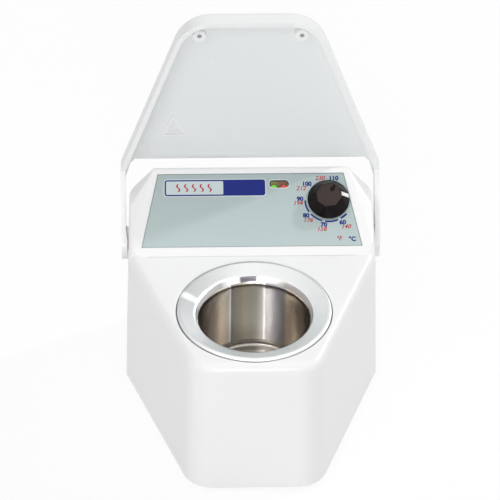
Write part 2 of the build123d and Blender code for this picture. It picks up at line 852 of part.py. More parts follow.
def knob_form(sink):
    """The turned outline of the knob, let down by sink."""
    level = knob_plane.offset(-sink)
    with BuildPart() as form:
        with BuildSketch(Plane(level.origin, x_dir=level.x_dir, z_dir=-level.y_dir)) as outline:
            with BuildLine():
                Polyline(
                    (0, knob_lift),
                    (knob_r, knob_lift),
                    (knob_r, skirt_top),
                    (knob_top_r, knob_top),
                    (0, knob_top),
                    close=True,
                )
            make_face()
            for place in ((knob_r, skirt_top), (knob_top_r, knob_top)):
                fillet(outline.vertices().sort_by_distance(place)[0], knob_round)
        revolve(axis=Axis(level.origin, level.z_dir))
    return form


def turned_plane(turn):
    """The panel's face at the knob axis, turned about it."""
    return knob_plane.rotated((0, 0, turn))


with BuildPart() as knob_pointer:
    with BuildSketch(turned_plane(pointer_turn).offset(skirt_top)):
        with Locations((pointer_start, 0)):
            Rectangle(knob_r, pointer_width, align=(Align.MIN, Align.CENTER))
    extrude(amount=knob_height)
    add(knob_form(0).part, mode=Mode.INTERSECT)
    add(knob_form(pointer_depth).part, mode=Mode.SUBTRACT)
finish("knob_pointer", knob_pointer)

with BuildPart() as knob:
    add(knob_form(0).part)
    for index in range(1, flute_count):
        turned = turned_plane(pointer_turn + index * 360 / flute_count)
        low = turned.from_local_coords((knob_r - flute_low_depth + flute_r, 0, skirt_top))
        high = turned.from_local_coords((knob_top_r - flute_top_depth + flute_r, 0, knob_top))
        start = low + (low - high)
        end = high + (high - low)
        with BuildSketch(Plane(origin=start, z_dir=end - start)):
            Circle(flute_r)
        extrude(amount=(end - start).length, mode=Mode.SUBTRACT)
    with BuildSketch(turned_plane(grip_turn).offset(knob_top - grip_depth)):
        with Locations((grip_start + grip_start_r, 0)):
            Circle(grip_start_r)
        with Locations((knob_top_r, 0)):
            Circle(grip_end_r)
        make_hull()
    extrude(amount=knob_height, mode=Mode.SUBTRACT)
    with BuildSketch(knob_plane.offset(knob_lift)):
        Circle(nut_room_r)
    extrude(amount=nut_room_height, mode=Mode.SUBTRACT)
    add(knob_shaft.part, mode=Mode.SUBTRACT)
    add(knob_pointer.part, mode=Mode.SUBTRACT)
finish("knob", knob)

# ---- Control board and what it carries ----
with BuildPart() as control_board:
    with BuildSketch(panel_level(board_under)):
        with Locations((0, (board_start + board_end) / 2)):
            Rectangle(2 * board_half, board_end - board_start)
        with Locations(*board_posts):
            Circle(thread_r + screw_gap, mode=Mode.SUBTRACT)
    extrude(amount=board_thickness)
finish("control_board", control_board)

board_seats = [on_panel(x, s, board_under) for x, s in board_posts]
finish("board_screws", pan_screws(board_seats, panel_plane.z_dir, board_screw_length))


def boxed_component(x, length, width, height):
    """A boxed component under the board, in the row in front of the rear wall."""
    with BuildPart() as component:
        with BuildSketch(panel_level(board_under)):
            with Locations((x, row_s)):
                Rectangle(length, width)
        extrude(amount=-height)
        upright = component.edges().filter_by(Axis((0, 0, 0), panel_plane.z_dir))
        chamfer(upright, component_chamfer)
    return component


finish("relay", boxed_component(relay_x, relay_length, relay_width, relay_height))
finish(
    "capacitor",
    boxed_component(capacitor_x, capacitor_length, capacitor_width, capacitor_height),
)

with BuildPart() as terminal_block:
    add(boxed_component(terminal_x, terminal_length, terminal_width, terminal_height).part)
    with BuildSketch(panel_level(board_under - terminal_height)):
        with Locations((terminal_x, row_s)):
            with GridLocations(terminal_length / terminal_ways, 0, terminal_ways, 1):
                Circle(terminal_way_r)
    extrude(amount=terminal_height / 2, mode=Mode.SUBTRACT)
finish("terminal_block", terminal_block)

fuse_s = board_start + post_inset + glass_fuse_r / 2
with BuildPart() as glass_fuse:
    fuse_end = on_panel(
        glass_fuse_x - glass_fuse_length / 2, fuse_s, board_under - glass_fuse_height
    )
    with BuildSketch(Plane(origin=fuse_end, z_dir=(1, 0, 0))):
        Circle(glass_fuse_r)
    extrude(amount=glass_fuse_length)
    with BuildSketch(panel_level(board_under)):
        with Locations((glass_fuse_x, fuse_s)):
            with GridLocations(glass_fuse_length - glass_fuse_clip, 0, 2, 1):
                Rectangle(glass_fuse_clip, 2 * glass_fuse_r)
    extrude(amount=-glass_fuse_height)
finish("glass_fuse", glass_fuse)

# ---- Cord bush in the rear wall, and its nut ----
with BuildPart() as cord_bush:
    with BuildSketch(entry_plane):
        Circle(entry_flange_r)
    extrude(amount=entry_flange)
    fillet(cord_bush.edges().group_by(Axis.Y)[-1], entry_round)
    with BuildSketch(entry_plane):
        Circle(entry_r)
    extrude(amount=-entry_length)
    with BuildSketch(entry_plane.offset(entry_flange)):
        Circle(entry_bore_r)
    extrude(amount=-entry_length - entry_flange, mode=Mode.SUBTRACT)
finish("cord_bush", cord_bush)

with BuildPart() as cord_bush_nut:
    with BuildSketch(entry_plane.offset(-wall)):
        RegularPolygon(entry_nut_flat / 2, 6, major_radius=False)
        Circle(entry_r, mode=Mode.SUBTRACT)
    extrude(amount=-entry_nut_height)
finish("cord_bush_nut", cord_bush_nut)

# ---- Lid ----
# A hood over the deck with two arms to the hinge, drawn shut and then turned open. Each
# arm ends in a pad with the hinge pin, and a nib that runs in the slot of the bush.
def hood_form(inset, low, edge_r):
    """The hood's closed form over the whole housing, moved inwards by inset."""
    with BuildPart() as form:
        with BuildSketch(Plane.XY.offset(low)) as plan:
            with BuildLine():
                plan_line()
            make_face()
            offset(amount=lid_offset - inset, kind=Kind.INTERSECTION)
            front_corners = plan.vertices().group_by(Axis.Y)[0]
            fillet(front_corners, front_corner_r + lid_gap + lid_wall - inset)
        extrude(amount=lid_top - inset - low)
        fillet(form.faces().sort_by(Axis.Z)[-1].edges(), edge_r)
    return form


arm_form = hood_form(0, pivot_height - arm_end_r, lid_edge_r).part
post_y = front_y - lid_offset + lid_post_back
lid_under = lid_top - lid_wall
lid_back_y = knee_y - lid_back_gap
with BuildPart() as shut_lid:
    add(hood_form(0, skirt_low, lid_edge_r).part)
    add(hood_form(lid_wall, skirt_low - lid_wall, lid_inner_r).part, mode=Mode.SUBTRACT)
    split(bisect_by=Plane.XZ.offset(-knee_y), keep=Keep.TOP)
    with BuildSketch(Plane.YZ.offset(gusset_width - arm_inner)):
        with BuildLine():
            Polyline(
                (knee_y, lid_top),
                (lid_back_y, lid_top),
                (lid_back_y, lid_under + lid_back_bevel),
                (lid_back_y - lid_back_bevel, lid_under),
                (knee_y, lid_under),
                close=True,
            )
        make_face()
    extrude(amount=2 * (arm_inner - gusset_width), mode=Mode.SUBTRACT)
    with BuildSketch(Plane.XY.offset(lid_under)):
        with Locations((-lid_post_x, post_y), (lid_post_x, post_y)):
            Circle(lid_post_r)
            Circle(lid_post_bore_r, mode=Mode.SUBTRACT)
    extrude(amount=-lid_post_height)

with BuildPart() as lid_arms:
    for side in (1, -1):
        with BuildSketch(Plane.YZ.offset(side * arm_inner)):
            with Locations((pivot_y, pivot_height)):
                Circle(arm_end_r)
            with Locations((knee_y, skirt_low)):
                Rectangle(gusset_length, lid_skirt, align=(Align.MIN, Align.MIN))
            make_hull()
        extrude(amount=side * lid_wall)
        with BuildSketch(Plane.XY.offset(lid_under)):
            with BuildLine():
                Polyline(
                    (side * arm_inner, knee_y),
                    (side * (arm_inner - gusset_width), knee_y),
                    (side * arm_inner, knee_y + gusset_length),
                    close=True,
                )
            make_face()
        extrude(amount=lid_wall)
    add(arm_form, mode=Mode.INTERSECT)
    for side in (1, -1):
        with BuildSketch(Plane.YZ.offset(side * pad_face)):
            with Locations((pivot_y, pivot_height)):
                Circle(arm_end_r)
        extrude(amount=side * pad_height)
        with BuildSketch(Plane.YZ.offset(side * (arm_inner - pin_length))):
            with Locations((pivot_y, pivot_height)):
                Circle(pin_r)
        extrude(amount=side * pin_length)
        with BuildSketch(Plane.YZ.offset(side * (pad_face - stop_nib_length))):
            with Locations((pivot_y, pivot_height + stop_radius)):
                Circle(stop_nib_r)
        extrude(amount=side * (stop_nib_length + pad_height))

opened_hood = shut_lid.part.rotate(hinge_axis, -lid_open_angle)
opened_arms = lid_arms.part.rotate(hinge_axis, -lid_open_angle)
with BuildPart() as lid:
    add(opened_hood)
    add(opened_arms)
finish("lid", lid)

# ---- Hinge bushes and clips ----
# The stop slot of a bush is as long as the lid's travel: the nib meets one end of it when
# the lid is shut and the other when it stands open.
stop_track = CenterArc(
    (pivot_y, pivot_height), stop_radius, 90 - lid_open_angle, lid_open_angle
)
slot_depth = bush_flange - stop_floor
with BuildPart() as hinge_bushes:
    for side in (1, -1):
        with BuildSketch(Plane.YZ.offset(side * (pivot_half - bush_flange))):
            with Locations((pivot_y, pivot_height)):
                Circle(bush_flange_r)
        extrude(amount=side * bush_flange)
        with BuildSketch(Plane.YZ.offset(side * bush_end)):
            with Locations((pivot_y, pivot_height)):
                Circle(bush_r)
        extrude(amount=side * bush_length)
        with BuildSketch(Plane.YZ.offset(side * bush_end)):
            with Locations((pivot_y, pivot_height)):
                Circle(pin_r + pin_gap)
        extrude(amount=side * bush_length, mode=Mode.SUBTRACT)
        with BuildSketch(Plane.YZ.offset(side * (pivot_half - slot_depth))):
            SlotArc(stop_track, 2 * (stop_nib_r + stop_gap))
        extrude(amount=side * slot_depth, mode=Mode.SUBTRACT)
finish("hinge_bushes", hinge_bushes)

with BuildPart() as hinge_clips:
    for side in (1, -1):
        with BuildSketch(Plane.YZ.offset(side * (bush_end - clip_gap))):
            with Locations((pivot_y, pivot_height)):
                Circle(clip_r)
                Circle(pin_r, mode=Mode.SUBTRACT)
        extrude(amount=-side * clip_thickness)
finish("hinge_clips", hinge_clips)

# ---- One STEP file for each piece ----
os.makedirs("parts", exist_ok=True)
for name, piece in pieces.items():
    export_step(piece, f"parts/{name}.step")
    print(f"{name}: {piece.volume:.0f} mm3")
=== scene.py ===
# %% [markdown]
# # Dental lab wax heater
# The packed model already has every solid at its real size and place. This lesson dresses it:
# the camera and the light first, then one finish for each material, then the few things that
# are too thin or too fine for a solid, such as the print on the panel. Starting from the packed
# solids keeps the looks true to the part from every side.

import json
from math import cos, pi, radians, sin

import bmesh
import bpy
from mathutils import Matrix, Vector


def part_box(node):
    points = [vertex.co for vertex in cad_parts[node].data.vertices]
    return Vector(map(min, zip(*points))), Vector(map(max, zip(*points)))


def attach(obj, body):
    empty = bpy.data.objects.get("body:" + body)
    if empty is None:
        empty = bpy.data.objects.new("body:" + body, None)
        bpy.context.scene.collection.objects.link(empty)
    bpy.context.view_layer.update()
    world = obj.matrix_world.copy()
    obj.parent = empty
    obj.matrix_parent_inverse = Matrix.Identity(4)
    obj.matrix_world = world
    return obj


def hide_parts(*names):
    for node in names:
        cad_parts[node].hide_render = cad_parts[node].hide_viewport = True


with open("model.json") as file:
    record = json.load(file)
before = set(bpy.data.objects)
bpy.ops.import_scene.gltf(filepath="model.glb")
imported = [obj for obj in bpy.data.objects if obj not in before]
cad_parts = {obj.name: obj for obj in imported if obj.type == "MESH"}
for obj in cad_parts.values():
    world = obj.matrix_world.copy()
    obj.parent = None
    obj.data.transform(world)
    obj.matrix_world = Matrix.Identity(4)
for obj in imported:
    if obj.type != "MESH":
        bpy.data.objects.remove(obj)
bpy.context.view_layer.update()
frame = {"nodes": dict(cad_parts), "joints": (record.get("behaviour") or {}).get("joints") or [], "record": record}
nodes = frame["nodes"]
mm = 0.001

# %% [markdown]
# ## The camera
# The photograph was taken from above and from a distance, with a long lens, so upright edges stay
# nearly parallel. A camera can be aimed by hand, or set from a target, three angles and a
# distance. The second way is chosen, because each value can then be read and changed alone.

# %% Set the camera
focal_pixels = 3400.0
photo_pixels = 500.0
sensor_width = 36.0
camera_target = Vector((4.9, 220.47, -100.04)) * mm
camera_turn = radians(-1.6)
camera_rise = radians(38.9939)
camera_roll = radians(0.45)
camera_distance = 1730.33 * mm
farthest_seen = 50


def put_in_scene(name, data):
    """A new object of the scene from a mesh, a lamp or a camera."""
    piece = bpy.data.objects.new(name, data)
    bpy.context.scene.collection.objects.link(piece)
    return piece


to_camera = Vector(
    (sin(camera_turn) * cos(camera_rise), -cos(camera_turn) * cos(camera_rise), sin(camera_rise))
)
level_right = Vector((cos(camera_turn), sin(camera_turn), 0))
level_up = to_camera.cross(level_right)
camera_right = level_right * cos(camera_roll) + level_up * sin(camera_roll)
camera_up = level_up * cos(camera_roll) - level_right * sin(camera_roll)

camera_data = bpy.data.cameras.new("camera")
camera_data.sensor_width = sensor_width
camera_data.lens = sensor_width * focal_pixels / photo_pixels
camera_data.clip_end = farthest_seen
camera = put_in_scene("camera", camera_data)
camera_axes = Matrix((camera_right, camera_up, to_camera)).transposed().to_4x4()
camera.matrix_world = Matrix.Translation(camera_target + to_camera * camera_distance) @ camera_axes
bpy.context.scene.camera = camera
print("lens", round(camera_data.lens, 1), "mm, camera at", tuple(camera.location))

# %% [markdown]
# ## Shader maths as Python
# A finish is a small calculation: a colour, made a little darker here and rougher there. Its
# nodes could be added one by one with long names. A class that turns an expression such as
# 1 - mask into Math nodes keeps each finish short enough to read as a recipe.


# %% Write the class of a value
class Value:
    """One output of a node. Arithmetic on it adds Math nodes to the same recipe."""

    def __init__(self, recipe, socket):
        self.recipe = recipe
        self.socket = socket

    def __add__(self, other):
        return self.recipe.maths("ADD", self, other)

    def __radd__(self, other):
        return self.recipe.maths("ADD", other, self)

    def __sub__(self, other):
        return self.recipe.maths("SUBTRACT", self, other)

    def __rsub__(self, other):
        return self.recipe.maths("SUBTRACT", other, self)

    def __mul__(self, other):
        return self.recipe.maths("MULTIPLY", self, other)

    def __rmul__(self, other):
        return self.recipe.maths("MULTIPLY", other, self)

    def __truediv__(self, other):
        return self.recipe.maths("DIVIDE", self, other)

    def __rtruediv__(self, other):
        return self.recipe.maths("DIVIDE", other, self)


print("a value knows + - * and /, from both sides")

# %% [markdown]
# ## The recipe of a finish
# Every finish needs the same few kinds of nodes: a place, noise, a mix of two colours, a bump and
# a shader. They could be written out each time. One method makes any node, and short methods on
# top of it give the common ones their settings.


# %% Write the class of a recipe
class Recipe:
    """The nodes of one finish. The method add makes any node."""

    def __init__(self, tree):
        self.tree = tree
        tree.nodes.clear()

    def add(self, kind, settings=None, sockets=None, output=0):
        """A node of that kind, its settings, then the values or links of its sockets."""
        node = self.tree.nodes.new(kind)
        for name, setting in (settings or {}).items():
            if name == "stops":
                ramp = node.color_ramp
                while len(ramp.elements) < len(setting):
                    ramp.elements.new(0.5)
                for element, (place, colour) in zip(ramp.elements, setting):
                    element.position = place
                    element.color = (*colour, 1.0)
            else:
                setattr(node, name, setting)
        for name, term in (sockets or {}).items():
            if isinstance(term, Value):
                self.tree.links.new(term.socket, node.inputs[name])
            elif isinstance(term, tuple) and len(node.inputs[name].default_value) == 4:
                node.inputs[name].default_value = (*term, 1.0)
            else:
                node.inputs[name].default_value = term
        return Value(self, node.outputs[output]) if node.outputs else None

    def maths(self, operation, *terms):
        """A Math node on values, numbers or both."""
        return self.add("ShaderNodeMath", {"operation": operation}, dict(enumerate(terms)))

    def place(self):
        """The place on the piece, in the piece's own coordinates."""
        return self.add("ShaderNodeTexCoord", output="Object")

    def part(self, where, axis):
        """The part of a place along X, Y or Z, which count as 0, 1 and 2."""
        return self.add("ShaderNodeSeparateXYZ", {}, {0: where}, output=axis)

    def along(self, where, direction):
        """How far a place lies along a direction."""
        sockets = {0: where, 1: tuple(direction)}
        return self.add("ShaderNodeVectorMath", {"operation": "DOT_PRODUCT"}, sockets, output=1)

    def noise(self, where, scale, detail=2.0, roughness=0.5):
        """Smooth noise from 0 to 1 with features of about 1 / scale metres."""
        sockets = {"Vector": where, "Scale": scale, "Detail": detail, "Roughness": roughness}
        return self.add("ShaderNodeTexNoise", {}, sockets)

    def between(self, share, low, high):
        """A number that goes from low to high as share goes from 0 to 1."""
        return share * (high - low) + low

    def blend(self, share, first, second):
        """A colour between two colours."""
        sockets = {"Factor": share, 6: first, 7: second}
        return self.add("ShaderNodeMix", {"data_type": "RGBA"}, sockets, output=2)

    def ramp(self, share, stops):
        """A colour read from a ramp of stops."""
        return self.add("ShaderNodeValToRGB", {"stops": stops}, {0: share})

    def bump(self, height, strength, distance):
        """A normal tilted by a height."""
        sockets = {"Height": height, "Strength": strength, "Distance": distance}
        return self.add("ShaderNodeBump", {}, sockets)

    def send(self, shader, output="ShaderNodeOutputMaterial"):
        """Send a shader to the output of the recipe."""
        self.add(output, {}, {"Surface": shader})

    def surface(self, **sockets):
        """Send the Principled shader to the output. An underscore in a name is a space."""
        named = {name.replace("_", " "): term for name, term in sockets.items()}
        self.send(self.add("ShaderNodeBsdfPrincipled", {}, named))


print("a recipe can:", [name for name in vars(Recipe) if not name.startswith("_")])

# %% [markdown]
# ## Materials and colours
# Colours are easiest to judge as they look on a screen, but a shader counts in linear light.
# They could be converted once and written down as long decimals. A function keeps the screen's
# numbers readable in every finish.


# %% Write the helpers for materials and colours
def new_finish(name):
    """An empty material and its recipe."""
    material = bpy.data.materials.new(name)
    material.use_nodes = True
    return material, Recipe(material.node_tree)


def srgb(red, green, blue):
    """A colour given as it looks on a screen, from 0 to 255, as linear light."""

    def linear(level):
        level = level / 255
        return level / 12.92 if level < 0.04045 else ((level + 0.055) / 1.055) ** 2.4

    return (linear(red), linear(green), linear(blue))


def scaled(colour, share):
    """A colour with that share of its light."""
    return tuple(level * share for level in colour)


print("a mid grey as linear light:", round(srgb(128, 128, 128)[0], 3))

# %% [markdown]
# ## The studio
# The real object was photographed on white, with a darker room to its right. A plain white world
# would do for the background, but it would light every side alike. So the world that lights the
# object is paler on the left, and the camera, mirrors and glass see a white room. The Light Path
# node tells the two apart.


# %% Build the white room
def sees_background(recipe):
    """1 for rays that show the room to the camera, straight on or in metal and glass."""
    path = "ShaderNodeLightPath"
    straight = recipe.add(path, output="Is Camera Ray")
    mirrored = recipe.add(path, output="Is Glossy Ray")
    through = recipe.add(path, output="Is Transmission Ray")
    return recipe.maths("MAXIMUM", recipe.maths("MAXIMUM", straight, mirrored), through)


pure_white = (1.0, 1.0, 1.0)
ambient_light = 0.45
darker_side = 0.65
world = bpy.data.worlds.new("white_room")
world.use_nodes = True
bpy.context.scene.world = world
room = Recipe(world.node_tree)
direction = room.add("ShaderNodeTexCoord", output="Generated")
right_share = room.maths("MAXIMUM", room.part(direction, 0), 0.0)
side_light = (1 - right_share * darker_side) * ambient_light
ambient = room.add("ShaderNodeBackground", {}, {"Color": pure_white, "Strength": side_light})
white = room.add("ShaderNodeBackground", {}, {"Color": pure_white, "Strength": 1.0})
room_sockets = {0: sees_background(room), 1: ambient, 2: white}
room.send(room.add("ShaderNodeMixShader", {}, room_sockets), "ShaderNodeOutputWorld")
print("ambient light", ambient_light, "and", darker_side, "darker on the right")

# %% [markdown]
# ## The floor
# The object stands on a white sweep of paper that keeps its soft shadow. A white plane with a
# strong lamp would look the same, but the extra light would burn out the object. A plane that
# glows only for the camera and in reflections, with a share of plain paper, keeps the light low.

# %% Lay the floor
floor_half = 3.0
floor_shadow = 0.14
floor_glow = 1.03
paper_white = (0.8, 0.8, 0.8)
floor_mesh = bpy.data.meshes.new("floor")
floor_corners = [
    (-floor_half, -floor_half, 0),
    (floor_half, -floor_half, 0),
    (floor_half, floor_half, 0),
    (-floor_half, floor_half, 0),
]
floor_mesh.from_pydata(floor_corners, [], [(0, 1, 2, 3)])
floor = put_in_scene("floor", floor_mesh)
floor_finish, recipe = new_finish("floor_white")
paper = recipe.add("ShaderNodeBsdfDiffuse", {}, {"Color": paper_white})
glow = recipe.add("ShaderNodeEmission", {}, {"Color": pure_white, "Strength": floor_glow})
glow_share = sees_background(recipe) * (1 - floor_shadow)
recipe.send(recipe.add("ShaderNodeMixShader", {}, {0: glow_share, 1: paper, 2: glow}))
floor_mesh.materials.append(floor_finish)
print("floor", 2 * floor_half, "m wide")

# %% [markdown]
# ## The lamps
# Soft gradients on white plastic come from large lamps, and a crisp glint on metal from a small
# one. A single strong lamp would be simpler, but it would leave hard shadows. Three broad lamps,
# on the left, in front and above, share the work, and a small one behind gives the glint.

# %% Hang the lamps
object_middle = Vector((0, 0, 0.07))


def hang_lamp(name, place, size, strength):
    """A square soft lamp at that place in metres, aimed at the middle of the object."""
    lamp_data = bpy.data.lights.new(name, "AREA")
    lamp_data.shape = "SQUARE"
    lamp_data.size = size
    lamp_data.energy = strength
    lamp = put_in_scene(name, lamp_data)
    lamp.location = place
    aim = object_middle - lamp.location
    lamp.rotation_euler = aim.to_track_quat("-Z", "Y").to_euler()


hang_lamp("left_lamp", place=(-0.62, -1.15, 1.35), size=0.75, strength=4.9)
hang_lamp("front_lamp", place=(0.0, -1.6, 0.6), size=0.5, strength=7)
hang_lamp("top_lamp", place=(-0.2, -0.2, 1.8), size=2.0, strength=7.8)
hang_lamp("rear_lamp", place=(1.17, 0.59, 1.06), size=0.07, strength=9.5)
print("lamps:", [light.name for light in bpy.data.lights])

# %% [markdown]
# ## Flat work on a slanted face
# The print on the panel and the small marks inside the lid lie on tilted flat faces. Each could
# be placed point by point. A matrix that stands on the face, made from its normal, is better,
# because every outline is then drawn in plain millimetres across and up that face.

# %% Find the two faces
level_across = Vector((1, 0, 0))


def face_matrix(origin, normal):
    """Axes that stand on a face: across the object, up the face and out of it."""
    up = normal.cross(level_across)
    return Matrix.Translation(origin) @ Matrix((level_across, up, normal)).transposed().to_4x4()


def on_face(face, node):
    """The corners of a node in millimetres across, up and out of a face."""
    to_face = face.inverted()
    return [to_face @ vertex.co / mm for vertex in nodes[node].data.vertices]


joints = {joint["name"]: joint for joint in frame["joints"]}
panel_out = -Vector(joints["knob_turn"]["axis"])
knob_foot = Vector(joints["knob_turn"]["pos_m"])
film_level = max(vertex.co.dot(panel_out) for vertex in nodes["panel_label"].data.vertices)
dial_face = face_matrix(knob_foot + panel_out * (film_level - knob_foot.dot(panel_out)), panel_out)

hinge = Vector(joints["lid_hinge"]["pos_m"])
rearward = Vector((0, 1, 0))
probe_height = 60 * mm
probe_front = -200 * mm
probe = Vector((0, probe_front, hinge.z + probe_height))
_, plate_point, plate_out, _ = nodes["lid"].ray_cast(probe, rearward)
plate_depth = (plate_point - hinge).dot(plate_out)
plate_face = face_matrix(hinge + plate_out * plate_depth, plate_out)
print("panel normal", tuple(panel_out))
print("lid plate", round(-plate_depth / mm, 2), "mm behind the hinge")

# %% [markdown]
# ## Moulded plastic
# The housing and the lid are white moulded plastic. Up close such a skin is not quite even: it
# has a very fine spark-eroded grain, slightly uneven gloss and a hint of warmer and cooler
# areas. Image textures could show that, but noise in the object's own coordinates gives all
# three without a seam.

# %% Make the moulded plastics
gloss_wander = (-0.04, 0.06)
skin_depth = 0.05 * mm


def moulded(name, colour, shade, gloss, grain=0.04, grain_scale=2600):
    """A moulded plastic: a colour, how far it wanders, its roughness and its grain."""
    material, recipe = new_finish(name)
    where = recipe.place()
    cloud = recipe.noise(where, scale=14, detail=3)
    uneven = recipe.noise(where, scale=120, detail=4)
    skin = recipe.noise(where, scale=grain_scale, detail=3)
    smoother, rougher = (gloss + wander for wander in gloss_wander)
    recipe.surface(
        Base_Color=recipe.blend(cloud, colour, scaled(colour, 1 - shade)),
        Roughness=recipe.between(uneven, smoother, rougher),
        Normal=recipe.bump(skin, grain, skin_depth),
    )
    return material


plastics = {
    "housing_plastic": (srgb(246, 246, 246), 0.02, 0.3),
    "foot_rubber": (srgb(46, 46, 48), 0.15, 0.75, 0.2, 1400),
    "seal_silicone": (srgb(168, 74, 52), 0.1, 0.55),
    "black_plastic": (srgb(38, 38, 40), 0.12, 0.5),
    "capacitor_case": (srgb(205, 172, 44), 0.08, 0.3),
    "terminal_plastic": (srgb(38, 112, 62), 0.1, 0.45),
    "bush_plastic": (srgb(226, 226, 222), 0.04, 0.45),
    "pointer_white": (srgb(248, 248, 246), 0.02, 0.35),
}
finishes = {name: moulded(name, *values) for name, values in plastics.items()}
print("moulded finishes:", len(finishes))

# %% [markdown]
# ## The lid's plastic
# The plate inside the lid is the same plastic, but duller than the rim round it. It is also a
# trace greyer, which is painted shade for the recess, with a thin painted shadow line along its
# foot. The faces could be picked by hand and given a second material. A mask from the distance
# along the plate's normal finds them without picking.

# %% Find the plate of the lid
plate_level = plate_point.dot(plate_out)
plate_skin = 0.25 * mm
plate_up = plate_out.cross(level_across)
plate_corners = [
    corner.co
    for corner in nodes["lid"].data.vertices
    if abs(corner.co.dot(plate_out) - plate_level) < plate_skin
]
plate_foot = min(corner.dot(plate_up) for corner in plate_corners)
foot_shadow_width = 1.3 * mm
print("plate of the lid at", round(plate_level / mm, 2), "mm along its normal")

# %% Make the lid's plastic
material, recipe = new_finish("lid_plastic")
where = recipe.place()
on_plate = recipe.maths("COMPARE", recipe.along(where, plate_out), plate_level, plate_skin)
painted_foot_shadow = recipe.maths("LESS_THAN", recipe.along(where, plate_up), plate_foot + foot_shadow_width)
cloud = recipe.noise(where, scale=9, detail=3)
# painted shade: the plate is a trace greyer than the rim, and its foot has a painted shadow line
plate_grey_with_painted_shade = recipe.blend(cloud, srgb(237, 240, 241), srgb(231, 234, 235))
plate_with_foot_shadow = recipe.blend(painted_foot_shadow, plate_grey_with_painted_shade, srgb(186, 189, 189))
grain = recipe.noise(where, scale=2000, detail=3)
recipe.surface(
    Base_Color=recipe.blend(on_plate, srgb(243, 244, 244), plate_with_foot_shadow),
    Roughness=recipe.between(on_plate, 0.3, 0.48),
    Normal=recipe.bump(grain, 0.05, skin_depth),
)
finishes["lid_plastic"] = material
print("line along the plate's foot", round(foot_shadow_width / mm, 1), "mm wide")

# %% [markdown]
# ## The metals
# Screws, clips and brackets are rolled steel, the fittings are turned brass, and the heater has
# a dull sheath. One plain grey would do at a distance. Up close, metal shows faint scratches and
# a little tarnish, so one function adds both to any colour.

# %% Make the metals
tarnish_share = 0.82
scratch_wander = (-0.06, 0.1)


def metal(name, colour, gloss):
    """A machined or rolled metal with faint scratches and a little tarnish."""
    material, recipe = new_finish(name)
    where = recipe.place()
    tarnish = recipe.noise(where, scale=90, detail=4)
    scratches = recipe.noise(where, scale=900, detail=5)
    smoother, rougher = (gloss + wander for wander in scratch_wander)
    recipe.surface(
        Base_Color=recipe.blend(tarnish, colour, scaled(colour, tarnish_share)),
        Metallic=1.0,
        Roughness=recipe.between(scratches, smoother, rougher),
        Normal=recipe.bump(scratches, 0.05, skin_depth),
    )
    return material


metals = {
    "steel": (srgb(190, 190, 192), 0.3),
    "brass": (srgb(212, 178, 102), 0.28),
    "heater_sheath": (srgb(176, 174, 168), 0.38),
}
for name, values in metals.items():
    finishes[name] = metal(name, *values)
print("metals:", list(metals))

# %% [markdown]
# ## Felt and circuit board
# Ceramic felt keeps the heat round the pot, and a green board behind the panel carries the
# control. Pictures of fibres and tracks could be laid on them. Noise and a wave texture give
# both from any side and at any distance.

# %% Make the fibre felt and the circuit board
fibre_depth = 0.3 * mm
fibre_shade = 0.7
copper_from = 0.8
copper_gleam = 1.7


def felt(name, colour):
    """Ceramic fibre felt: soft, uneven and fully matte."""
    material, recipe = new_finish(name)
    fibres = recipe.noise(recipe.place(), scale=1500, detail=6, roughness=0.7)
    recipe.surface(
        Base_Color=recipe.blend(fibres, scaled(colour, fibre_shade), colour),
        Roughness=0.95,
        Normal=recipe.bump(fibres, 0.6, fibre_depth),
    )
    return material


def board(name, colour):
    """Solder resist over copper: a glossy green with paler tracks showing through."""
    material, recipe = new_finish(name)
    settings = {"wave_type": "BANDS", "bands_direction": "X"}
    sockets = {"Vector": recipe.place(), "Scale": 160.0, "Distortion": 4.0}
    tracks = recipe.add("ShaderNodeTexWave", settings, sockets)
    copper = recipe.maths("GREATER_THAN", tracks, copper_from)
    recipe.surface(
        Base_Color=recipe.blend(copper, colour, scaled(colour, copper_gleam)),
        Roughness=0.3,
        Normal=recipe.bump(copper, 0.2, skin_depth),
    )
    return material


finishes["insulation"] = felt("insulation", srgb(226, 221, 206))
finishes["board_laminate"] = board("board_laminate", srgb(28, 92, 52))
print("finishes so far:", len(finishes))

# %% [markdown]
# ## Lamps behind a smoked window
# Two small diffused lamps stand behind one clear, smoked window. The window could be painted
# dark, but real tinted glass lets the lamps glow through it and darkens what it covers.

# %% Make the window, the lamps and the fuse glass
haze = 0.04
glass_bend = 1.49
lamp_shade = 0.7


def tinted_glass(name, colour, roughness):
    """Clear material that takes its tint from its colour, with a trace of unevenness."""
    material, recipe = new_finish(name)
    waves = recipe.noise(recipe.place(), scale=300)
    recipe.surface(
        Base_Color=colour,
        Roughness=recipe.between(waves, roughness, roughness + haze),
        Transmission_Weight=1.0,
        IOR=glass_bend,
    )
    return material


def glowing(name, colour, strength):
    """A diffused coloured lamp with light of its own, a little deeper here and there."""
    material, recipe = new_finish(name)
    cloud = recipe.noise(recipe.place(), scale=500)
    glow = recipe.blend(cloud, colour, scaled(colour, lamp_shade))
    recipe.surface(
        Base_Color=glow, Roughness=0.35, Emission_Color=glow, Emission_Strength=strength
    )
    return material


finishes["smoked_window"] = tinted_glass("smoked_window", srgb(92, 78, 54), 0.04)
finishes["fuse_glass"] = tinted_glass("fuse_glass", srgb(232, 238, 235), 0.02)
finishes["lamp_green"] = glowing("lamp_green", srgb(120, 255, 40), 10.0)
finishes["lamp_red"] = glowing("lamp_red", srgb(255, 12, 8), 8.0)
print("finishes with glass and lamps:", len(finishes))
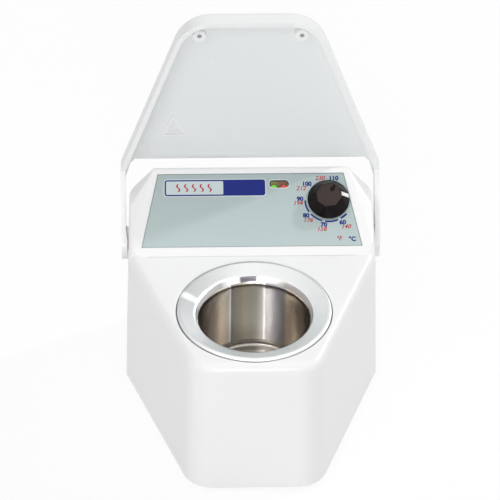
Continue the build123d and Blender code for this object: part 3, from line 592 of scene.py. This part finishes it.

# %% [markdown]
# ## The printed film
# The panel is covered by a grey-green polyester film in a shallow pocket. It is printed from
# behind, so its face is smooth with a fine satin texture. Its colour is darker towards the top, a
# gradient that goes up the slope, worked out from the height.

# %% Make the film
film_low, film_high = (corner.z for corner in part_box("panel_label"))
satin_depth = 0.03 * mm
material, recipe = new_finish("label_film")
where = recipe.place()
rise = (recipe.part(where, 2) - film_low) / (film_high - film_low)
satin = recipe.noise(where, scale=3200)
recipe.surface(
    Base_Color=recipe.blend(rise, srgb(185, 200, 200), srgb(168, 184, 184)),
    Roughness=recipe.between(satin, 0.24, 0.34),
    Normal=recipe.bump(satin, 0.05, satin_depth),
)
finishes["label_film"] = material
print("film from", round(film_low / mm, 1), "to", round(film_high / mm, 1), "mm high")

# %% [markdown]
# ## The inks
# The print is a thin layer of even ink on the film. It could be an image, but then it would blur
# when seen close. Text and outline curves stay sharp, and all the drawings of one ink join into
# one thin piece.

# %% Mix the inks
mottle_share = 0.95
mottle_haze = 0.006


def ink(name, colour):
    """Printing ink: an even colour with a trace of mottling, on satin film."""
    material, recipe = new_finish(name)
    mottle = recipe.noise(recipe.place(), scale=1800, detail=3)
    hazed = tuple(level + mottle_haze for level in scaled(colour, mottle_share))
    recipe.surface(
        Base_Color=recipe.blend(mottle, colour, hazed),
        Roughness=recipe.between(mottle, 0.3, 0.42),
        Specular_IOR_Level=0.2,
    )
    return material


blue_ink = ink("blue_ink", srgb(8, 34, 126))
red_ink = ink("red_ink", srgb(182, 28, 50))
pale_ink = ink("pale_ink", srgb(206, 218, 219))
# the next ink is a painted shadow along the film's cut edge
edge_shadow_ink = ink("edge_shadow_ink", srgb(146, 159, 160))
# this ink is painted shade for the fold below the film
fold_shade_ink = ink("fold_shade_ink", srgb(208, 209, 209))
print("inks:", [mixed.name for mixed in (blue_ink, red_ink, pale_ink, edge_shadow_ink, fold_shade_ink)])

# %% Draw with ink
capital_share = 0.72
ink_thickness = 0.02
face_gap = 0.004
weld = 1e-7


def shape(*loops):
    """A flat shape from closed loops of points in millimetres. Inner loops are holes."""
    curve = bpy.data.curves.new("shape", "CURVE")
    curve.dimensions = "2D"
    curve.fill_mode = "BOTH"
    for loop in loops:
        spline = curve.splines.new("POLY")
        spline.points.add(len(loop) - 1)
        for point, (x, y) in zip(spline.points, loop):
            point.co = (x * mm, y * mm, 0, 1)
        spline.use_cyclic_u = True
    return curve, (0, 0)


def words(text, place, height, weight, slant=0.0):
    """Text of that height of its capitals, centred on its place."""
    letters = bpy.data.curves.new("words", "FONT")
    letters.body = text
    letters.size = height * mm / capital_share
    letters.align_x = "CENTER"
    letters.align_y = "CENTER"
    letters.shear = slant
    letters.resolution_u = 4
    letters.offset = weight * mm
    return letters, place


def lay_flat(name, face, drawings, thickness, material, body):
    """One piece from several flat drawings, laid on a face and raised by its thickness."""
    mesh = bpy.data.meshes.new(name)
    joined = bmesh.new()
    for curve, (x, y) in drawings:
        curve.extrude = thickness * mm / 2
        drawn = bpy.data.objects.new("drawn", curve)
        flat = bpy.data.meshes.new_from_object(drawn)
        flat.transform(Matrix.Translation((x * mm, y * mm, (thickness / 2 + face_gap) * mm)))
        joined.from_mesh(flat)
        bpy.data.objects.remove(drawn)
        bpy.data.curves.remove(curve)
    bmesh.ops.remove_doubles(joined, verts=joined.verts, dist=weld)
    joined.to_mesh(mesh)
    joined.free()
    mesh.transform(face)
    mesh.materials.append(material)
    piece = put_in_scene(name, mesh)
    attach(piece, body)


print("a layer of ink is", ink_thickness, "mm thick")

# %% [markdown]
# ## The print of the dial
# The dial has a scale in two units, the Celsius figures upright in blue and the Fahrenheit ones
# slanted in red, with an arc between them. A formula could space the figures evenly, but their
# real steps are uneven, so each figure has its own place round the knob.

# %% Set the figures of the dial
figure_height = 2.0
blue_weight = 0.14
red_weight = 0.05
red_slant = 0.25
celsius_places = {
    "60": (5.9, -10.6),
    "70": (-2.3, -11.6),
    "80": (-9.8, -7.2),
    "90": (-12.3, 0.7),
    "100": (-9.2, 7.8),
    "110": (2.5, 10.4),
    "\u00b0C": (9.8, -18.5),
}
fahrenheit_places = {
    "140": (7.2, -12.6),
    "158": (-3.3, -13.7),
    "176": (-9.1, -9.4),
    "194": (-13.3, -1.3),
    "212": (-11.8, 5.7),
    "230": (-3.5, 10.6),
    "\u00b0F": (4.0, -18.2),
}
celsius = [
    words(figure, place, figure_height, blue_weight) for figure, place in celsius_places.items()
]
fahrenheit = [
    words(figure, place, figure_height, red_weight, red_slant)
    for figure, place in fahrenheit_places.items()
]
print("figures and signs:", len(celsius) + len(fahrenheit))

# %% Print the dial
arc_inner = 9.7
arc_outer = 10.45
last_arc_inner = 9.6
arc_turns = ((180, 213), (220, 253), (261, 293))
last_arc_turns = (301, 320)


def arc_points(radius, start, end, steps):
    """Points along an arc about the dial's centre, from one angle in degrees to another."""
    turns = [radians(start + (end - start) * step / steps) for step in range(steps + 1)]
    return [(radius * cos(turn), radius * sin(turn)) for turn in turns]


def ring_sector(inner, outer, start, end, steps=16):
    """A stretch of a flat ring about the dial's centre."""
    return shape(arc_points(outer, start, end, steps) + arc_points(inner, end, start, steps))


for start, end in arc_turns:
    celsius.append(ring_sector(arc_inner, arc_outer, start, end))
celsius.append(ring_sector(last_arc_inner, arc_outer, *last_arc_turns))
lay_flat("celsius_scale", dial_face, celsius, ink_thickness, blue_ink, "root")
lay_flat("fahrenheit_scale", dial_face, fahrenheit, ink_thickness, red_ink, "root")
print("stretches of the arc:", len(arc_turns) + 1)

# %% [markdown]
# ## The shadow along the film's edge
# A slightly darker line along the film's edge, where it was cut, is a painted shadow of the
# pocket's edge. It could be a groove in the solid, but it is thinner than a hair. An outline read
# from the film's own corners and drawn in twice gives a narrow frame that always fits the film.

# %% Paint the shadow line along the film's edge
film = on_face(dial_face, "panel_label")
film_foot = min(corner.y for corner in film)
film_head = max(corner.y for corner in film)
middle = -knob_foot.x / mm
corner_band = 0.1
foot_half = max(abs(corner.x - middle) for corner in film if corner.y < film_foot + corner_band)
head_half = max(abs(corner.x - middle) for corner in film if corner.y > film_head - corner_band)


def film_border(inset):
    """The outline of the film, drawn in by inset on every side."""
    return [
        (middle - foot_half + inset, film_foot + inset),
        (middle + foot_half - inset, film_foot + inset),
        (middle + head_half - inset, film_head - inset),
        (middle - head_half + inset, film_head - inset),
    ]


edge_start = 0.02
edge_end = 0.3
edge_shadow_drawing = [shape(film_border(edge_start), film_border(edge_end))]
lay_flat("film_edge_shadow", dial_face, edge_shadow_drawing, ink_thickness, edge_shadow_ink, "root")
print("film", round(2 * foot_half, 1), "by", round(film_head - film_foot, 1), "mm")

# %% [markdown]
# ## The ring round the window
# A pale printed ring frames the lamp window. Scaling the window's outline would make the ring
# uneven on a long shape. Growing it by the same amount on every side keeps one width all round.

# %% Print the ring round the window
barely_round = 0.01


def rounded_box(low_x, low_y, high_x, high_y, radii, steps=6):
    """A box with rounded corners, the radii given from the lower left one anticlockwise."""
    centres = (
        (low_x + radii[0], low_y + radii[0], radii[0], 180),
        (high_x - radii[1], low_y + radii[1], radii[1], 270),
        (high_x - radii[2], high_y - radii[2], radii[2], 0),
        (low_x + radii[3], high_y - radii[3], radii[3], 90),
    )
    points = []
    for x, y, radius, start in centres:
        for across_step, up_step in arc_points(radius, start, start + 90, steps):
            points.append((x + across_step, y + up_step))
    return points


window = on_face(dial_face, "lamp_window")
window_low = (min(corner.x for corner in window), min(corner.y for corner in window))
window_high = (max(corner.x for corner in window), max(corner.y for corner in window))


def window_ring(grow):
    """The window's outline, grown on every side, with half-round ends."""
    low_x, low_y = (side - grow for side in window_low)
    high_x, high_y = (side + grow for side in window_high)
    end_radius = (high_y - low_y) / 2 - barely_round
    return rounded_box(low_x, low_y, high_x, high_y, [end_radius] * 4)


ring_inner = 0.05
ring_outer = 0.5
ring_drawing = [shape(window_ring(ring_outer), window_ring(ring_inner))]
lay_flat("window_ring", dial_face, ring_drawing, ink_thickness, pale_ink, "root")
print("ring", ring_outer - ring_inner, "mm wide")

# %% [markdown]
# ## The shade of the fold
# Below the film the white plastic folds towards the deck, and the shade in the fold shows as a
# fine grey line. An edge in the solid alone hardly shows on white. A thin strip of painted shade,
# laid on the face that a ray towards it finds, draws the line.

# %% Paint the shade of the fold below the film
fold_gap = 4.5
fold_half = 45
fold_shade_width = 0.3
fold_probe = 5
above_fold = dial_face @ (Vector((middle, film_foot - fold_gap, fold_probe)) * mm)
_, fold_point, fold_out, _ = nodes["housing"].ray_cast(above_fold, -panel_out)
fold_face = face_matrix(fold_point, fold_out)
fold_corners = [
    (-fold_half, -fold_shade_width / 2),
    (fold_half, -fold_shade_width / 2),
    (fold_half, fold_shade_width / 2),
    (-fold_half, fold_shade_width / 2),
]
# a strip of painted shade along the fold
fold_shade_drawing = [shape(fold_corners)]
lay_flat("fold_shade_line", fold_face, fold_shade_drawing, ink_thickness, fold_shade_ink, "root")
print("fold line at", tuple(fold_point), "on a face towards", tuple(fold_out))

# %% [markdown]
# ## The badge
# The film carries a badge of two joined fields, one outlined and one filled with blue, on a pale
# ground. Red wavy strokes, the plain sign for heat, fill the outlined one. All of it could lie in
# one layer, but two inks at one height would flicker, so the ground is a thinner layer below.

# %% Draw the two fields of the badge
badge_left = -37.4 + middle
badge_right = 6.2 + middle
badge_split = -12.0 + middle
badge_foot = 2.6
badge_head = 10.2
badge_round = 1.1
badge_line = 0.6
badge_halo = 0.5
field_round = 0.4
line_round = badge_round - badge_line
ground = shape(
    rounded_box(
        badge_left - badge_halo,
        badge_foot - badge_halo,
        badge_right + badge_halo,
        badge_head + badge_halo,
        [badge_round + badge_halo] * 4,
    )
)
outline = shape(
    rounded_box(
        badge_left,
        badge_foot,
        badge_split,
        badge_head,
        [badge_round, barely_round, barely_round, badge_round],
    ),
    rounded_box(
        badge_left + badge_line,
        badge_foot + badge_line,
        badge_split - barely_round,
        badge_head - badge_line,
        [line_round, field_round, field_round, line_round],
    ),
)
block = shape(
    rounded_box(
        badge_split,
        badge_foot,
        badge_right,
        badge_head,
        [barely_round, badge_round, badge_round, barely_round],
    )
)
print("badge", round(badge_right - badge_left, 1), "by", round(badge_head - badge_foot, 1), "mm")

# %% Print the badge with its heat signs
wave_pitch = 3.4
wave_margin = 2.0
wave_swing = 0.6
wave_width = 0.7
wave_steps = 24
ground_thickness = 0.006
badge_lift = 0.008


def heat_wave(x, low, high):
    """An upright wavy stroke, the plain sign for heat."""
    side = []
    for step in range(wave_steps + 1):
        share = step / wave_steps
        side.append((x + wave_swing * sin(2 * pi * share), low + (high - low) * share))
    left = [(across_place - wave_width / 2, up_place) for across_place, up_place in side]
    right = [(across_place + wave_width / 2, up_place) for across_place, up_place in side[::-1]]
    return shape(left + right)


wave_middle = (badge_left + badge_split) / 2
waves = [
    heat_wave(wave_middle + wave_pitch * number, badge_foot + wave_margin, badge_head - wave_margin)
    for number in range(-2, 3)
]
lay_flat("badge_ground", dial_face, [ground], ground_thickness, pale_ink, "root")
badge_face = dial_face @ Matrix.Translation((0, 0, badge_lift * mm))
fields = [outline, block]
lay_flat("badge_frame", badge_face, fields, ink_thickness, blue_ink, "root")
lay_flat("badge_waves", badge_face, waves, ink_thickness, red_ink, "root")
print("heat signs:", len(waves))

# %% [markdown]
# ## Marks in the lid
# A moulded lid shows how it was made: a double triangle cut into the mould, the ring of an
# ejector and the small mark of the gate. They could be painted, but real marks stand proud by
# a few tenths of a millimetre and catch the light, so they are raised shapes on the plate.

# %% Raise the marks in the lid
triangle = ((-38.9, 43.2), (-27.0, 43.3), (-33.4, 54.0))
outer_line = 0.75
inner_line = (2.1, 2.5)
ejector_place = (-45.6, 37.3)
ejector_radii = (2.6, 2.2)
gate_place = (-16.0, 81.2)
gate_radius = 0.5
# the marks stand higher than the plate's mask, so they keep the rim's brighter colour, not the plate's painted
# shade
mark_height = 0.3


def drawn_in(points, inset):
    """A triangle's corners moved towards its middle, so that each side moves in by inset."""
    middle_x = sum(x for x, _ in points) / 3
    middle_y = sum(y for _, y in points) / 3
    corner_way = 2 * inset
    moved = []
    for x, y in points:
        away = Vector((x - middle_x, y - middle_y))
        shorter = away * (1 - corner_way / away.length)
        moved.append((middle_x + shorter.x, middle_y + shorter.y))
    return moved


def disc(place, radius, steps=24):
    """A circle as a loop of points."""
    circle = arc_points(radius, 0, 360 - 360 / steps, steps - 1)
    return [(place[0] + x, place[1] + y) for x, y in circle]


marks = [
    shape(list(triangle), drawn_in(triangle, outer_line)),
    shape(*(drawn_in(triangle, inset) for inset in inner_line)),
    shape(*(disc(ejector_place, radius) for radius in ejector_radii)),
    shape(disc(gate_place, gate_radius)),
]
lay_flat("lid_marks", plate_face, marks, mark_height, finishes["lid_plastic"], "lid")
print("marks in the lid:", len(marks))

# %% [markdown]
# ## The knob
# The knob is a dark brown-black moulding: a round skirt, eight flats that rise from it to an
# eight-sided matte top, a small grip notch and a white pointer let into one flat. Cutting flats
# from a cone by hand is slow, so each ring of the mesh takes the smaller of the cone's radius
# and the flat's distance, which gives the same curved edges as the real cut.

# %% Measure the room for the knob
knob_face = face_matrix(knob_foot, panel_out)
shaft_end = max(corner.z for corner in on_face(knob_face, "knob_shaft"))
nut_end = max(corner.z for corner in on_face(knob_face, "panel_nut"))
over_shaft = 0.4
knob_high = shaft_end + over_shaft
print("end of the shaft", round(shaft_end, 2), "mm and of the nut", round(nut_end, 2), "mm")

# %% Draw the rings of the knob
flat_count = 8
flat_turn = 8.0
steps_per_flat = 12
knob_r = 9.1
knob_low = 0.4
skirt_high = 1.1
skirt_flat = 9.25
top_r = 5.75
top_flat = 5.3
room_r = 6.4
room_high = 3.0
edge_round = 0.35
flank_steps = 10
flank_end = 0.965
top_edge = ((0.12, 0.06), (0.35, 0.0))
no_flats = 2 * knob_r


def knob_ring(radius, flat, height):
    """One ring of the knob: a circle of that radius with flats at that distance from the axis."""
    ring = []
    pitch = 360 / flat_count
    for step in range(flat_count * steps_per_flat):
        turn = radians(flat_turn + step * pitch / steps_per_flat)
        off_middle = radians((step / steps_per_flat + 0.5) % 1 * pitch - pitch / 2)
        reach = min(radius, flat / cos(off_middle))
        ring.append((reach * cos(turn), reach * sin(turn), height))
    return ring


def cone_ring(share):
    """A ring of the flank, at a share of the way from the skirt up to the top."""
    radius = knob_r + (top_r - knob_r) * share
    flat = skirt_flat + (top_flat - skirt_flat) * share
    return knob_ring(radius, flat, skirt_high + (knob_high - skirt_high) * share)


knob_rings = [
    knob_ring(room_r, no_flats, room_high),
    knob_ring(room_r, no_flats, knob_low),
    knob_ring(knob_r - edge_round, no_flats, knob_low),
    knob_ring(knob_r, no_flats, knob_low + edge_round),
]
for step in range(flank_steps + 1):
    knob_rings.append(cone_ring(step / flank_steps * flank_end))
for inward, downward in top_edge:
    knob_rings.append(knob_ring(top_r - inward, top_flat - inward, knob_high - downward))
print("rings of the knob:", len(knob_rings))

# %% Skin the knob
sharp_from = radians(14)


def skin(name, rows):
    """A closed mesh from rows of corners in millimetres, each row joined to the next."""
    skinned = bmesh.new()
    corners = [[skinned.verts.new(Vector(point) * mm) for point in row] for row in rows]
    for lower, upper in zip(corners, corners[1:]):
        for step in range(len(lower)):
            following = (step + 1) % len(lower)
            skinned.faces.new((lower[step], lower[following], upper[following], upper[step]))
    skinned.faces.new(corners[-1])
    skinned.faces.new(corners[0][::-1])
    bmesh.ops.recalc_face_normals(skinned, faces=skinned.faces)
    mesh = bpy.data.meshes.new(name)
    skinned.to_mesh(mesh)
    skinned.free()
    return mesh


knob_mesh = skin("knob_moulding", knob_rings)
for polygon in knob_mesh.polygons:
    polygon.use_smooth = True
knob_mesh.set_sharp_from_angle(angle=sharp_from)
knob_piece = put_in_scene("knob_moulding", knob_mesh)
print("knob:", len(knob_mesh.polygons), "faces")

# %% [markdown]
# ## The grip notch
# A shallow drop-shaped notch in the knob's top runs out towards its edge. Modelling it into the
# rings would bend every ring near it. A Boolean cut with a drop-shaped block leaves the rest of
# the knob as it is, with a crisp edge all round.

# %% Cut the grip notch
notch_turn = radians(60)
wide_end = 3.1
wide_end_r = 1.05
narrow_end = 6.3
narrow_end_r = 0.3
notch_depth = 0.3
cut_above = 1
notch_loop = [(wide_end + x, y) for x, y in arc_points(wide_end_r, 90, 270, 12)]
notch_loop += [(narrow_end + x, y) for x, y in arc_points(narrow_end_r, -90, 90, 6)]
cutter_rows = [
    [(x, y, height) for x, y in notch_loop]
    for height in (knob_high - notch_depth, knob_high + cut_above)
]
cutter_mesh = skin("notch_cutter", cutter_rows)
cutter_mesh.transform(Matrix.Rotation(notch_turn, 4, "Z"))
cutter = put_in_scene("notch_cutter", cutter_mesh)
notch = knob_piece.modifiers.new("notch", "BOOLEAN")
notch.object = cutter
notch.operation = "DIFFERENCE"
bpy.context.view_layer.update()
evaluated_knob = knob_piece.evaluated_get(bpy.context.evaluated_depsgraph_get())
cut_mesh = bpy.data.meshes.new_from_object(evaluated_knob)
knob_piece.modifiers.clear()
knob_piece.data = cut_mesh
cut_mesh.transform(knob_face)
bpy.data.objects.remove(cutter)
print("knob with its notch:", len(cut_mesh.polygons), "faces")

# %% [markdown]
# ## The pointer
# A white strip is let into the flat that points at the scale. It could be painted on, but the
# real one is a piece of its own and stands a hair proud. Rows of corners that follow the flat's
# slope make a strip with softened edges.

# %% Let the pointer in
pointer_start = 5.6
pointer_end = 8.9
pointer_width = 1.8
pointer_proud = 0.06
pointer_deep = 0.4
pointer_steps = 6
pointer_edge = 0.05
pointer_section = (
    (-0.5, -pointer_deep),
    (-0.5, -pointer_edge),
    (-0.46, 0.0),
    (0.46, 0.0),
    (0.5, -pointer_edge),
    (0.5, -pointer_deep),
)


def flank_height(reach):
    """The height of the flat's middle line at that distance from the axis."""
    share = (skirt_flat - reach) / (skirt_flat - top_flat)
    return skirt_high + (knob_high - skirt_high) * share


pointer_rows = []
for step in range(pointer_steps + 1):
    reach = pointer_start + (pointer_end - pointer_start) * step / pointer_steps
    top = flank_height(reach) + pointer_proud
    row = [(reach, side * pointer_width, top + height) for side, height in pointer_section]
    pointer_rows.append(row)
pointer_mesh = skin("pointer_inlay", pointer_rows)
pointer_mesh.transform(Matrix.Rotation(radians(flat_turn), 4, "Z"))
pointer_mesh.transform(knob_face)
pointer_piece = put_in_scene("pointer_inlay", pointer_mesh)
print("pointer", round(pointer_end - pointer_start, 1), "by", pointer_width, "mm")

# %% [markdown]
# ## The knob's plastic
# The flank of the knob is nearly black and glossy, and its top is a matte brown. Two materials
# would need the faces sorted. As the top is flat, its height above the panel tells it apart, and
# one finish holds both.

# %% Make the knob's plastic
knob_top_level = knob_foot.dot(panel_out) + knob_high * mm
top_skin = 0.05 * mm
material, recipe = new_finish("knob_plastic")
where = recipe.place()
on_top = recipe.maths("COMPARE", recipe.along(where, panel_out), knob_top_level, top_skin)
grain = recipe.noise(where, scale=2400, detail=3)
cloud = recipe.noise(where, scale=260, detail=3)
matte_brown = recipe.blend(cloud, srgb(70, 60, 57), srgb(58, 49, 47))
recipe.surface(
    Base_Color=recipe.blend(on_top, srgb(16, 12, 11), matte_brown),
    Roughness=recipe.between(on_top, 0.24, 0.55),
    Specular_IOR_Level=0.12,
    Normal=recipe.bump(grain, 0.06, satin_depth),
)
finishes["knob_plastic"] = material
print("top of the knob", round(knob_high, 2), "mm above the panel")

# %% Put the knob and its pointer in place of the solids
for piece, slot, node in (
    (knob_piece, "knob_plastic", "knob"),
    (pointer_piece, "pointer_white", "knob_pointer"),
):
    piece.data.materials.clear()
    piece.data.materials.append(finishes[slot])
    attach(piece, "knob")
    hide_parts(node)
    print(piece.name, "takes the place of", node)

# %% [markdown]
# ## The wax pot
# The pot is turned from aluminium: a satin conical flange with a polished lip, and a polished
# bore. Turning leaves fine grooves round the axis, and an anisotropic metal with a fine bump
# along the profile shows them. The broad bright and dark bands of the bore and the lip are
# painted reflections and painted highlights, colours that go round the pot's axis, so they stay
# with the pot and do not hang on one set of lamps. The flange has a painted highlight in a narrow
# fan and painted shade on one side, and the rear of the bore's floor has painted shade.

# %% Find the places on the pot
pot_low, pot_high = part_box("wax_pot")
pot_x = (pot_low.x + pot_high.x) / 2
pot_y = (pot_low.y + pot_high.y) / 2
flange_r = (pot_high.x - pot_low.x) / 2
bore_r = 22.6 * mm
bore_round = 0.6 * mm
lip_width = 2.3 * mm
bore_floor = 33 * mm
pot_finish, recipe = new_finish("pot_aluminium")
from_axis = recipe.add(
    "ShaderNodeVectorMath", {"operation": "SUBTRACT"}, {0: recipe.place(), 1: (pot_x, pot_y, 0.0)}
)
across, along, level = (recipe.part(from_axis, axis) for axis in range(3))
radius = recipe.maths("SQRT", across * across + along * along)
in_bore = recipe.maths("LESS_THAN", radius, bore_r + bore_round)
on_lip = recipe.maths("LESS_THAN", radius, bore_r + lip_width)
on_floor = recipe.maths("LESS_THAN", level, bore_floor)
rightwards = across / radius
backwards = along / radius
print("pot axis at", round(pot_x / mm, 2), round(pot_y / mm, 2))
print("flange radius", round(flange_r / mm, 2), "mm")

# %% Paint reflections and highlights on the bore and the lip round the axis
wander_amount = 0.06
wander_lean = 1.5
leaning = level * wander_lean
around = recipe.add("ShaderNodeCombineXYZ", {}, {0: rightwards, 1: backwards, 2: leaning})
wander = recipe.noise(around, scale=5.0, detail=1.0)
round_wall = rightwards * 0.5 + 0.5 + (wander - 0.5) * wander_amount
# painted reflections: the white stops are painted highlights, the dark ones painted reflections
bore_reflection_stops = [
    (0.08, srgb(186, 178, 176)),
    (0.20, srgb(238, 234, 225)),
    (0.268, srgb(228, 226, 220)),
    (0.274, srgb(255, 255, 255)),
    (0.290, srgb(255, 255, 255)),
    (0.296, srgb(152, 148, 152)),
    (0.41, srgb(202, 196, 178)),
    (0.588, srgb(214, 214, 212)),
    (0.594, srgb(255, 255, 255)),
    (0.608, srgb(255, 255, 255)),
    (0.614, srgb(180, 178, 184)),
    (0.78, srgb(168, 165, 172)),
    (0.82, srgb(222, 208, 190)),
    (0.92, srgb(190, 176, 162)),
]
# painted highlights and dark painted reflections round the lip
lip_reflection_stops = [
    (0.22, srgb(190, 190, 190)),
    (0.27, srgb(255, 255, 255)),
    (0.36, srgb(255, 255, 255)),
    (0.38, srgb(120, 118, 124)),
    (0.53, srgb(128, 126, 130)),
    (0.55, srgb(255, 255, 255)),
    (0.70, srgb(236, 236, 235)),
    (0.78, srgb(168, 164, 160)),
]
painted_bore_reflections = recipe.ramp(round_wall, bore_reflection_stops)
painted_lip_reflections = recipe.ramp(round_wall, lip_reflection_stops)
print("stops round the bore:", len(bore_reflection_stops), "and round the lip:", len(lip_reflection_stops))

# %% Paint shade on the floor of the bore, and a highlight and shade on the flange
streaks_from = 0.62
streaks_fade = 5.0
floor_back = 8 * mm
floor_fade = 8 * mm
fan_turn = 161
fan_half = 5
fan_edge = cos(radians(fan_half))
painted_shade_turn = 125
back_share = backwards * 0.5 + 0.5
bright_half = (streaks_from - back_share) * streaks_fade
# the rear of the bore wall carries the painted reflections, the front part an even pale grey
bore_wall_with_painted_reflections = recipe.blend(bright_half, painted_bore_reflections, srgb(240, 239, 237))
# painted shade: the rear of the bore's floor is darker
rear_floor_shade = (along - floor_back) / floor_fade
floor_with_painted_shade = recipe.blend(rear_floor_shade, srgb(198, 196, 191), srgb(160, 156, 150))
bore_painted_light = recipe.blend(on_floor, bore_wall_with_painted_reflections, floor_with_painted_shade)


def towards(turn):
    """How far a place round the pot faces that angle in degrees, from -1 to 1."""
    return rightwards * cos(radians(turn)) + backwards * sin(radians(turn))


# painted highlight: a bright narrow fan on the flange
fan = (towards(fan_turn) - fan_edge) / (1 - fan_edge)
# painted shade: the flange is darker on the side that faces this turn
painted_shade_share = towards(painted_shade_turn) * 0.5 + 0.5
satin_with_painted_shade = recipe.blend(painted_shade_share, srgb(240, 241, 241), srgb(198, 199, 199))
flange_painted_light = recipe.blend(fan, satin_with_painted_shade, srgb(255, 255, 255))
outer_painted_light = recipe.blend(on_lip, flange_painted_light, painted_lip_reflections)
print("fan of the flange at", fan_turn, "degrees,", 2 * fan_half, "degrees wide")

# %% Make the turned aluminium
polished_share = 0.15
groove_dulling = 0.06
line = recipe.add("ShaderNodeCombineXYZ", {}, {0: radius, 1: level})
grooves = recipe.noise(line, scale=2600)
groove_height = grooves * recipe.between(on_lip, 1.0, polished_share)
recipe.surface(
    Base_Color=recipe.blend(in_bore, outer_painted_light, bore_painted_light),
    Metallic=1.0,
    Roughness=recipe.between(on_lip, 0.36, 0.16) + grooves * groove_dulling,
    Anisotropic=0.6,
    Normal=recipe.bump(groove_height, 0.12, satin_depth),
)
finishes["pot_aluminium"] = pot_finish
print("finishes in all:", len(finishes))

# %% [markdown]
# ## Dress the solids
# The packed record says which finish each solid has. Each could be dressed by its name here, but
# reading the record keeps the list in one place, so that no node is left in its plain colour.


# %% Dress every solid
def dress(piece, material):
    """Put one material on every slot of a piece."""
    if not piece.material_slots:
        piece.data.materials.append(material)
    for material_slot in piece.material_slots:
        material_slot.material = material


for subpart in frame["record"]["subparts"]:
    dress(nodes[subpart["node"]], finishes[subpart["material_slot"]])

# %% [markdown]
# ## The view transform
# The colours are shown with the Standard view transform.

# %% Set the view transform
bpy.context.scene.view_settings.view_transform = "Standard"
